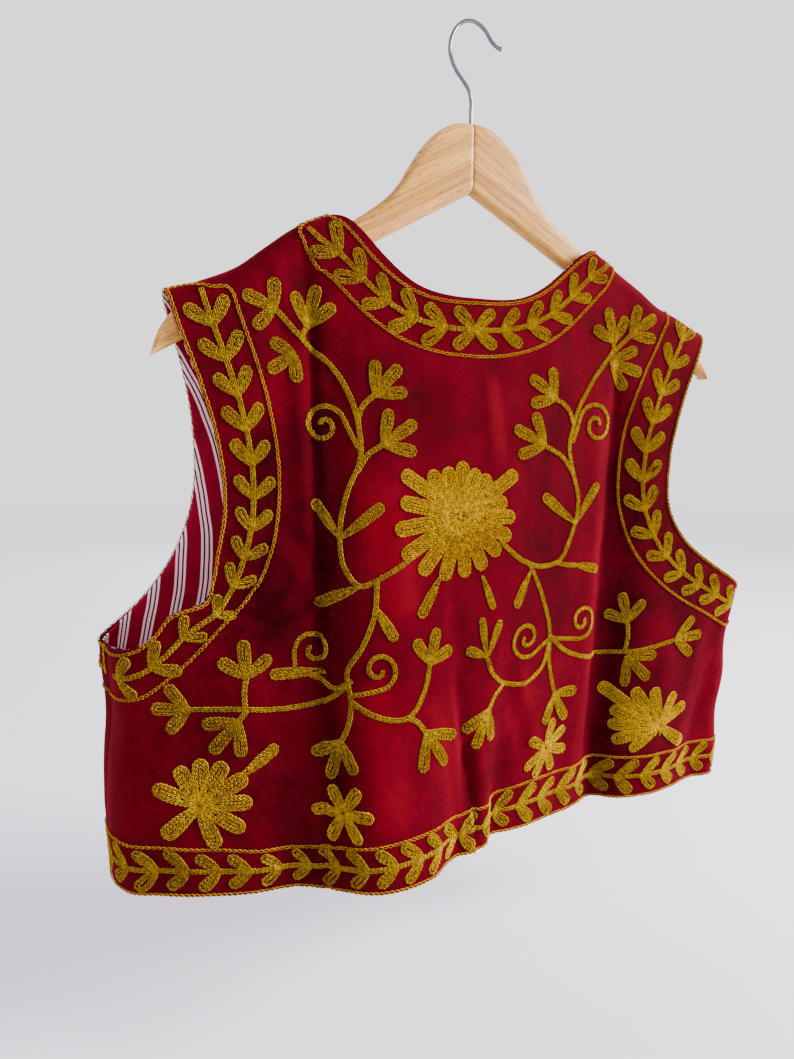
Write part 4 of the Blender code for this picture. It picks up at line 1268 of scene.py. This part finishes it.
def front_rows(panel):
    """Rows of a front's bands and of its few sprigs, stems and flowers."""
    seam, curve = armhole(panel, panel, SHOULDER_HALF - FRONT_EDGE_X)
    straight, neck = front_neck(panel)
    across = FRONT_NECK_BAND[0][1]
    rows = [beside(hem_edge(np.linspace(0.0, across, 20)), FRONT_EDGE_IN)]
    centre = along(joined(straight, neck), np.linspace(0.0, 1.0, 200))
    hem = hem_edge(np.linspace(across, seam[0, 0], 200))
    edges = (
        (centre, -1, FRONT_NECK_BAND, FRONT_NECK_PAIRS, (False, True), None),
        (curve, 1, FRONT_ARM_BAND, ARM_PAIRS, (False, True), seam),
        (hem, 1, FRONT_HEM_BAND, FRONT_HEM_PAIRS, (False, False), None),
    )
    for edge, inward, widths, count, closed, side in edges:
        lines, leaves = band(edge, inward, widths, count, closed, FRONT_EDGE_IN, seam=side)
        rows += lines + leaves
    rows.append(seam[seam[:, 1] > seam[-1, 1] - FRONT_ARM_BAND[0][1]] - [2 * EDGE_IN, 0.0])
    for points in FRONT_STEMS:
        rows += stem(points)
    for row in FRONT_SPRIGS:
        rows += sprig(*row)
    for p, h, first, length, count in FRONT_FLOWERS:
        petals = [(first + 360 / count * k, length) for k in range(count)]
        rows += rosette((p, h), petals, 0.85, 0.2)
    return rows


# ---------------------------------------------------------------- the hanger

SHANK_HOLE = 0.36  # across the hole that the wire stands in
HOLE_SIDES = 48
WOOD_CORNER = 5  # faces round a corner of the wood
WOOD_STATIONS = 90
HOOK_STEPS = 220
HOOK_SIDES = 20
SHARP = math.radians(50)  # an edge that turns by more stays sharp in the shading
HOOK_TIP = (0.45, 1.22)  # the wire swells over this last length by this factor
HOOK_ROUND = 0.7  # and is rounded off over this share of its thickness


def lofted(name, rings):
    """Closed mesh through rings of points, each end drawn in to one point at its middle."""
    rings = np.array(rings)
    count, around = rings.shape[:2]
    index = np.arange(count * around).reshape(count, around)
    ahead = np.roll(index, -1, axis=1)
    faces = np.stack([index[:-1], ahead[:-1], ahead[1:], index[1:]], axis=-1).reshape(-1, 4).tolist()
    poles = [count * around, count * around + 1]
    faces += [(poles[0], b, a) for a, b in zip(index[0], ahead[0])]
    faces += [(poles[1], a, b) for a, b in zip(index[-1], ahead[-1])]
    points = np.concatenate([rings.reshape(-1, 3), rings[:1].mean(axis=1), rings[-1:].mean(axis=1)])
    mesh = bpy.data.meshes.new(name)
    mesh.from_pydata((points * CM).tolist(), [], faces)
    mesh.shade_smooth()
    mesh.set_sharp_from_angle(angle=SHARP)
    return mesh


def arm_rings(side):
    """Rounded sections of a hanger arm from the mitre out to the tip.

    A section is a rectangle with elliptical corners. Its underside falls along the arm's slope, its height
    comes from the table, and the corners' height is stretched by the slope of the top.
    """
    table = np.array(WOOD_HEIGHT)
    even = MITRE_GAP / 2 + (table[-1, 0] - MITRE_GAP / 2) * np.linspace(0.0, 1.0, WOOD_STATIONS)
    x = np.union1d(even, np.concatenate([[MITRE_GAP / 2 + 0.03], table[-4:, 0]]))
    height = smooth(table[:, 0], table[:, 1], x)
    low = ARM_BOTTOM_Z - ARM_SLOPE * x
    slope = np.gradient(low + height, x)
    rise = np.minimum(WOOD_EDGE_ROUND * np.hypot(1.0, slope), MOST_ROUND * height)
    eased = np.where(x < MITRE_GAP / 2 + 0.01, 0.03, 0.0)  # the mitre's own edges are broken a little
    quarter = np.linspace(0.0, 1.0, WOOD_CORNER + 1)
    turn = np.concatenate([(corner + quarter) * 0.5 * math.pi for corner in range(4)])
    corner = np.repeat(np.arange(4), WOOD_CORNER + 1)
    half = WOOD_THICK / 2 - WOOD_EDGE_ROUND
    y = np.where(np.isin(corner, (0, 3)), half, -half) + (WOOD_EDGE_ROUND - eased[:, None]) * np.cos(turn)
    middle = np.where(np.isin(corner, (0, 1)), (low + height - rise)[:, None], (low + rise)[:, None])
    z = middle + (rise - eased)[:, None] * np.sin(turn)
    rings = np.stack([np.broadcast_to(side * x[:, None], y.shape), y, z], axis=-1)
    return rings[:, ::-1] if side < 0 else rings


def hanger_arm(side, finish):
    """One wooden half of the hanger, with its share of the hook's hole, in place of its solid."""
    name = "left" if side < 0 else "right"
    made = piece(f"beech_arm_{name}", lofted(f"beech_arm_{name}", arm_rings(side)), finish)
    turn = np.linspace(0.0, 2 * math.pi, HOLE_SIDES, endpoint=False)
    ring = np.stack([np.cos(turn), np.sin(turn), 0 * turn], axis=1) * SHANK_HOLE / 2
    ends = (-HOOK_SINK - MITRE_GAP, HOOK_SINK)
    drill_mesh = lofted("drill", [ring + [0, 0, PEAK_Z + end] for end in ends])
    drill = bpy.data.objects.new("drill", drill_mesh)
    bpy.context.scene.collection.objects.link(drill)
    hole = made.modifiers.new("drill", "BOOLEAN")
    hole.object = drill
    cut = bpy.data.meshes.new_from_object(made.evaluated_get(bpy.context.evaluated_depsgraph_get()))
    made.modifiers.clear()
    made.data = cut
    bpy.data.objects.remove(drill)
    cut.shade_smooth()
    cut.set_sharp_from_angle(angle=SHARP)
    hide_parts(f"hanger_arm_{name}")
    return made


def hook_piece(finish):
    """The hook in place of its solid: a round wire swept along its line, swollen and rounded at the tip."""
    line = np.array([(0.0, PEAK_Z - HOOK_SINK), (0.0, PEAK_Z), (0.0, SHANK_TOP_Z), *HOOK_LINE])
    reach = lengths(line)
    line = smooth(reach, line, np.linspace(0.0, reach[-1], HOOK_STEPS))
    reach = lengths(line)
    left = reach[-1] - reach
    radius = HOOK_WIRE / 2 * (1 + (HOOK_TIP[1] - 1) * fade((HOOK_TIP[0] - left) / HOOK_TIP[0]))
    from_end = 1 - np.clip(left / (HOOK_ROUND * HOOK_WIRE), 0, 1)
    radius = radius * np.sqrt(np.clip(1 - from_end**4, 0.02, 1))
    tangent = np.gradient(line, axis=0)
    tangent /= np.linalg.norm(tangent, axis=1, keepdims=True)
    turn = np.linspace(0.0, 2 * math.pi, HOOK_SIDES, endpoint=False)
    across = np.stack([-tangent[:, 1], tangent[:, 0]], axis=1)
    flat = line[:, None] + radius[:, None, None] * np.cos(turn)[:, None] * across[:, None]
    depth = radius[:, None] * np.sin(turn)
    rings = np.stack([flat[..., 0], depth, flat[..., 1]], axis=-1)
    made = piece("steel_hook", lofted("steel_hook", rings), finish)
    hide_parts("hanger_hook")
    return made


# ---------------------------------------------------------------- finishes


def rgb(red, green, blue):
    """Scene-linear colour from display values, 0 to 255: a power curve above a short straight part."""
    shares = [value / 255 for value in (red, green, blue)]
    linear = [part / 12.92 if part < 0.04045 else ((part + 0.055) / 1.055) ** 2.4 for part in shares]
    return (*linear, 1.0)


class Wire:
    """An output socket of a finish. +, - and * on it add Math nodes."""

    def __init__(self, finish, socket):
        self.finish = finish
        self.socket = socket

    def maths(self, operation, *values, clamp=False):
        """The output of a Math node with these values."""
        settings = {"operation": operation, "use_clamp": clamp}
        return self.finish.node("ShaderNodeMath", settings, dict(enumerate(values)))

    def __add__(self, other):
        return self.maths("ADD", self, other)

    def __sub__(self, other):
        return self.maths("SUBTRACT", self, other)

    def __mul__(self, other):
        return self.maths("MULTIPLY", self, other)

    def __rsub__(self, other):
        return self.maths("SUBTRACT", other, self)

    __radd__ = __add__

    def size(self):
        """Its distance from zero."""
        return self.maths("ABSOLUTE", self)

    def repeat(self, period):
        """What is left of it after whole periods, from 0 to the period."""
        return self.maths("WRAP", self, period, 0.0)

    def step(self, edge, softness):
        """0 below the edge and 1 above it, over a short ramp."""
        return self.maths("MULTIPLY_ADD", self, 1 / softness, 0.5 - edge / softness, clamp=True)


class Finish:
    """A material under construction: its nodes, its main shader and the ways to add to them."""

    def __init__(self, name, **constants):
        self.material = bpy.data.materials.new(name)
        self.material.use_nodes = True
        self.tree = self.material.node_tree
        self.shader = self.tree.nodes["Principled BSDF"]
        for socket, value in constants.items():
            self.shader.inputs[socket.replace("_", " ")].default_value = value

    def join(self, socket, value):
        """Links a wire to a socket, or sets the socket to a value."""
        if isinstance(value, Wire):
            self.tree.links.new(value.socket, socket)
        else:
            socket.default_value = value

    def node(self, kind, settings, sockets, out=0):
        """One output of a new node of a kind, after its settings and its sockets are set or linked."""
        made = self.tree.nodes.new(kind)
        for name, value in settings.items():
            if name == "stops":
                for stop, (place, colour) in zip(made.color_ramp.elements, value):
                    stop.position, stop.color = place, colour
                for place, colour in value[2:]:
                    made.color_ramp.elements.new(place).color = colour
            else:
                setattr(made, name, value)
        for name, value in sockets.items():
            self.join(made.inputs[name], value)
        return Wire(self, made.outputs[out])

    def place(self):
        """Object coordinates, in metres."""
        return self.node("ShaderNodeTexCoord", {}, {}, "Object")

    def cut(self):
        """The piece's own flat coordinates, (p, h) in metres."""
        return self.node("ShaderNodeTexCoord", {}, {}, "UV")

    def axis(self, vector, name):
        """One axis of a vector, by its letter."""
        return self.node("ShaderNodeSeparateXYZ", {}, {0: vector}, name)

    def stretched(self, vector, scale):
        """A vector times a scale, axis by axis."""
        return self.node("ShaderNodeMapping", {}, {"Vector": vector, "Scale": scale})

    def noise(self, vector, scale, detail=2.0, roughness=0.5, distortion=0.0):
        """Soft noise from 0 to 1."""
        sockets = {"Vector": vector, "Scale": scale, "Detail": detail, "Roughness": roughness}
        return self.node("ShaderNodeTexNoise", {}, {**sockets, "Distortion": distortion})

    def mixed(self, share, first, second):
        """One colour, or the other by a share."""
        return self.node("ShaderNodeMix", {"data_type": "RGBA"}, {0: share, 6: first, 7: second}, 2)

    def bump(self, height, distance, strength):
        """Joins a height, in shares of a distance in metres, to the shader's normal."""
        sockets = {"Height": height, "Distance": distance, "Strength": strength}
        self.join(self.shader.inputs["Normal"], self.node("ShaderNodeBump", {}, sockets))

    def shaded(self):
        """The main shader's own output."""
        return Wire(self, self.shader.outputs[0])

    def colour(self, value):
        """Joins a colour to the main shader."""
        self.join(self.shader.inputs["Base Color"], value)

    def roughness(self, value):
        """Joins a roughness to the main shader."""
        self.join(self.shader.inputs["Roughness"], value)


def velvet_finish():
    """Crimson velvet: painted shade and light by the folds in the piece's own strokes, and the pile's own
    tone in patches, clouds, streaks and specks.
    """
    finish = Finish("crimson_velvet", Sheen_Weight=0.16, Sheen_Roughness=0.42,
                    Sheen_Tint=rgb(255, 40, 84), Specular_IOR_Level=0.012)
    cut = finish.cut()
    patches = finish.noise(cut, 22.0, 3.0, 0.6, 0.6)
    clouds = finish.noise(cut, 46.0, 3.0, 0.62, 1.2)
    blotches = finish.noise(cut, 95.0, 3.0, 0.65, 0.8)
    streaks = finish.noise(finish.stretched(cut, (80.0, 12.0, 1.0)), 1.0, 3.0, 0.6, 0.6)
    specks = finish.noise(cut, 270.0, 2.0, 0.6) - 0.5
    pile = finish.noise(cut, 1400.0, 2.0)
    # The piece's attribute: painted shade in and beside the folds and painted light on lit parts.
    nap = finish.node("ShaderNodeAttribute", {"attribute_name": "nap"}, {}, "Fac")
    broad = patches * 0.34 + clouds * 0.24 + blotches * 0.20 + streaks * 0.22
    # The pile's random tone plus the painted shade and light; it picks dark or light crimson below.
    pile_and_shading = (broad + specks * 0.20 + nap * 0.26).step(0.50, 0.54)
    deep = finish.mixed(pile_and_shading, rgb(24, 0, 2), rgb(81, 3, 13))
    finish.colour(finish.mixed(pile.step(0.62, 0.3) * 0.3, deep, rgb(94, 2, 24)))
    finish.roughness(0.70 + blotches * 0.25)
    finish.bump(pile * 0.35 + blotches * 0.7 + streaks * 0.3, 0.0007, 0.8)
    return finish.material


STRIPE_PITCH = 0.0176
# A stripe leans by the first of these at STRIPE_LEVEL, and by twice the second more a metre above it.
STRIPE_LEVEL = -0.42
STRIPE_LEANS = {BACK: (0.0, 0.0), **dict.fromkeys(FRONTS, (-0.20, 2.2))}
STRIPE_GROUP = 0.0038  # half a group of stripes
STRIPE_LINE = 0.0006  # half a black line
STRIPE_LINE_AT = STRIPE_GROUP * 0.42  # from a group's middle to a black line's
STRIPE_SOFT = 0.0003


def lining_finish(panel):
    """Red striped cotton: in each pitch, three white stripes parted by two thin black lines."""
    finish = Finish(f"striped_cotton_{panel}", Specular_IOR_Level=0.05)
    lean, bend = STRIPE_LEANS[panel]
    cut = finish.cut()
    up = finish.axis(cut, "Y") - STRIPE_LEVEL
    across = finish.axis(cut, "X") - up * lean - up * up * bend + (finish.noise(cut, 14.0) - 0.5) * 0.006
    off = (across.repeat(STRIPE_PITCH) - STRIPE_PITCH / 2).size()
    white = 1 - off.step(STRIPE_GROUP, STRIPE_SOFT)
    black = 1 - (off - STRIPE_LINE_AT).size().step(STRIPE_LINE, STRIPE_SOFT)
    blotches = finish.noise(cut, 60.0, 3.0)
    ground = finish.mixed(blotches.step(0.5, 0.6), rgb(91, 3, 22), rgb(133, 8, 36))
    striped = finish.mixed(white, ground, rgb(232, 180, 188))
    finish.colour(finish.mixed(black, striped, rgb(34, 14, 18)))
    finish.roughness(0.62 + blotches * 0.2)
    weave = finish.node("ShaderNodeTexWave", {"bands_direction": "X"}, {"Vector": cut, "Scale": 320.0})
    cross = finish.node("ShaderNodeTexWave", {"bands_direction": "Y"}, {"Vector": cut, "Scale": 320.0})
    finish.bump(weave * cross * 0.5 + blotches * 1.2, 0.0004, 0.7)
    return finish.material


def thread_finish(name, dark, middle, light):
    """Twisted thread: each stitch takes the dye a little differently, and has fine fibres."""
    finish = Finish(name, Specular_IOR_Level=0.03)
    place = finish.place()
    stitches = finish.noise(place, 420.0, 2.0, 0.6)
    worn_patches = finish.noise(place, 26.0, 2.0)
    fibres = finish.noise(place, 2600.0, 2.0)
    tone = stitches * 0.76 + worn_patches * 0.24
    stops = ((0.33, dark), (0.66, light), (0.48, middle))
    shades = finish.node("ShaderNodeValToRGB", {"stops": stops}, {"Fac": tone})
    finish.colour(finish.mixed(fibres.step(0.5, 0.4) * 0.3, shades, dark))
    finish.roughness(0.52 + fibres * 0.3)
    finish.bump(fibres, 0.00025, 0.8)
    return finish.material


def wood_finish(name, side):
    """Varnished beech: soft grain, narrow growth lines and short dark flecks that run along the arm."""
    finish = Finish(name, Coat_Weight=0.05, Coat_Roughness=0.3, Specular_IOR_Level=0.2)
    turn = (0.0, -side * math.atan(ARM_SLOPE), 0.0)
    place = finish.node("ShaderNodeMapping", {}, {"Vector": finish.place(), "Rotation": turn})
    slow = finish.noise(finish.stretched(place, (5.0, 60.0, 55.0)), 1.0, 3.0, 0.6, 0.5)
    lines = finish.noise(finish.stretched(place, (9.0, 420.0, 380.0)), 1.0, 4.0, 0.7)
    flecks = finish.noise(finish.stretched(place, (130.0, 1500.0, 1300.0)), 1.0, 1.0)
    ground = finish.mixed(slow.step(0.5, 0.4), rgb(158, 106, 38), rgb(206, 158, 74))
    grained = finish.mixed(lines.step(0.52, 0.22) * 0.8, ground, rgb(122, 70, 20))
    finish.colour(finish.mixed(flecks.step(0.64, 0.1) * 0.6, grained, rgb(104, 54, 20)))
    finish.roughness(0.34 + lines * 0.2)
    finish.bump(lines * 0.5 - flecks.step(0.66, 0.1) * 0.5, 0.00018, 0.6)
    return finish.material


def steel_finish():
    """Bright plating, with faint cloudiness and hair scratches."""
    finish = Finish("bright_plating", Metallic=1.0)
    place = finish.place()
    clouds = finish.noise(place, 90.0, 2.0)
    hairs = finish.noise(finish.stretched(place, (900.0, 900.0, 60.0)), 1.0, 2.0)
    finish.colour(finish.mixed(clouds.step(0.5, 0.6), rgb(84, 86, 92), rgb(116, 118, 124)))
    finish.roughness(0.10 + clouds * 0.06 + hairs * 0.06)
    finish.bump(hairs, 0.00006, 0.25)
    return finish.material


# ---------------------------------------------------------------- stage

CAMERA_PLACE = (-27.243, -53.205, -28.746)
CAMERA_YAW, CAMERA_PITCH, CAMERA_ROLL = math.radians(22.33), math.radians(-6.75), math.radians(0.49)
LENS = 27.03
FLOOR_Z = -72.0
FLOOR_HALF = 2000.0
FLOOR_FADE = (3.0, 4.0)  # where the floor is half gone into the room's light and over how far, in metres
ROOM = rgb(232, 226, 232)
ROOM_LIGHT = 2.2
LIGHTS = (
    # name          from x, y, z         wide  high  watts
    ("soft_key", (225, -115, 60), 90, 130, 340.0),
    ("soft_fill", (-200, -160, 40), 200, 220, 8.0),
    ("soft_back", (60, 220, 70), 200, 200, 50.0),
)
LOOKED_AT = (0.0, 0.0, -34.0)


def stand_camera():
    """Camera from its place, yaw to the right, pitch and roll."""
    camera = bpy.data.cameras.new("camera")
    camera.sensor_fit, camera.sensor_height, camera.lens = "VERTICAL", 36.0, LENS
    camera.clip_start = 0.02
    yaw, pitch, roll = CAMERA_YAW, CAMERA_PITCH, CAMERA_ROLL
    ahead = Vector((math.sin(yaw) * math.cos(pitch), math.cos(yaw) * math.cos(pitch), math.sin(pitch)))
    level = Vector((math.cos(yaw), -math.sin(yaw), 0.0))
    lift = level.cross(ahead)
    right = math.cos(roll) * level + math.sin(roll) * lift
    up = math.cos(roll) * lift - math.sin(roll) * level
    made = bpy.data.objects.new("camera", camera)
    turned = Matrix((right, up, -ahead)).transposed().to_4x4()
    made.matrix_world = Matrix.Translation(Vector(CAMERA_PLACE) * CM) @ turned
    bpy.context.scene.collection.objects.link(made)
    bpy.context.scene.camera = made


def light_stage():
    """Soft lights on all sides, a pale world and a pale floor."""
    for name, place, wide, high, watts in LIGHTS:
        light = bpy.data.lights.new(name, "AREA")
        light.shape, light.size, light.size_y, light.energy = "RECTANGLE", wide * CM, high * CM, watts
        made = bpy.data.objects.new(name, light)
        made.location = Vector(place) * CM
        made.rotation_euler = (Vector(LOOKED_AT) - Vector(place)).to_track_quat("-Z", "Y").to_euler()
        bpy.context.scene.collection.objects.link(made)
    world = bpy.data.worlds.new("pale_room")
    world.use_nodes = True
    world.node_tree.nodes["Background"].inputs["Color"].default_value = ROOM
    world.node_tree.nodes["Background"].inputs["Strength"].default_value = ROOM_LIGHT
    bpy.context.scene.world = world
    paint = Finish("pale_floor", Specular_IOR_Level=0.1, Roughness=0.9, Base_Color=rgb(204, 201, 212))
    place = paint.place()
    out = paint.node("ShaderNodeVectorMath", {"operation": "LENGTH"}, {0: place}, "Value")
    glow = paint.node("ShaderNodeEmission", {}, {"Color": ROOM, "Strength": ROOM_LIGHT})
    blend = paint.node("ShaderNodeMixShader", {}, {0: out.step(*FLOOR_FADE), 1: paint.shaded(), 2: glow})
    paint.join(paint.tree.nodes["Material Output"].inputs["Surface"], blend)
    square = ((-1, -1), (1, -1), (1, 1), (-1, 1))
    corners = np.array([(x * FLOOR_HALF, y * FLOOR_HALF, FLOOR_Z) for x, y in square])
    mesh = quad_mesh("floor", corners, np.array([(0, 1, 2, 3)]))
    mesh.materials.append(paint.material)
    floor = bpy.data.objects.new("floor", mesh)
    bpy.context.scene.collection.objects.link(floor)


# ---------------------------------------------------------------- all of it

MUSTARD = (rgb(100, 70, 0), rgb(142, 108, 2), rgb(178, 146, 6))
BRIGHT = (rgb(118, 84, 0), rgb(168, 129, 0), rgb(208, 171, 0))
ORANGE = (rgb(112, 68, 0), rgb(148, 98, 2), rgb(176, 126, 16))


def main():
    """The camera and the light, the hanger, the embroidery, and the cloth that it lies on."""
    stand_camera()
    light_stage()
    velvet = velvet_finish()
    mustard = thread_finish("mustard_thread", *MUSTARD)
    bright = thread_finish("bright_thread", *BRIGHT)
    orange = thread_finish("orange_thread", *ORANGE)
    steel = steel_finish()
    for side, name in ((-1, "beech_left"), (1, "beech_right")):
        hanger_arm(side, wood_finish(name, side))
    hook_piece(steel)

    bands = back_bands()
    vines, flowers = back_motifs()
    edge_lines = [row for lines, _ in bands.values() for row in lines]
    pitch = LINK_PITCH * LINE_SIZE
    on_back = [stitching("stitched_edge_lines", BACK, edge_lines, orange, pitch, LINE_SIZE)]
    for name, (_, rows) in bands.items():
        on_back.append(stitching(f"stitched_{name}_leaves", BACK, rows, mustard))
    on_back.append(stitching("stitched_vines", BACK, vines, mustard))
    on_back.append(stitching("stitched_flowers", BACK, flowers, bright))
    for panel in FRONTS:
        rows = front_rows(panel)
        stitching(f"stitched_{panel}", panel, rows, mustard, FRONT_PITCH)
    for panel in PANELS:
        made = velvet_piece(panel, velvet)
        panel_grid(panel, VELVET_GRID)
        made = lining_piece(panel, lining_finish(panel))
        panel_grid(panel, LINING_GRID)


main()
bpy.context.view_layer.update()
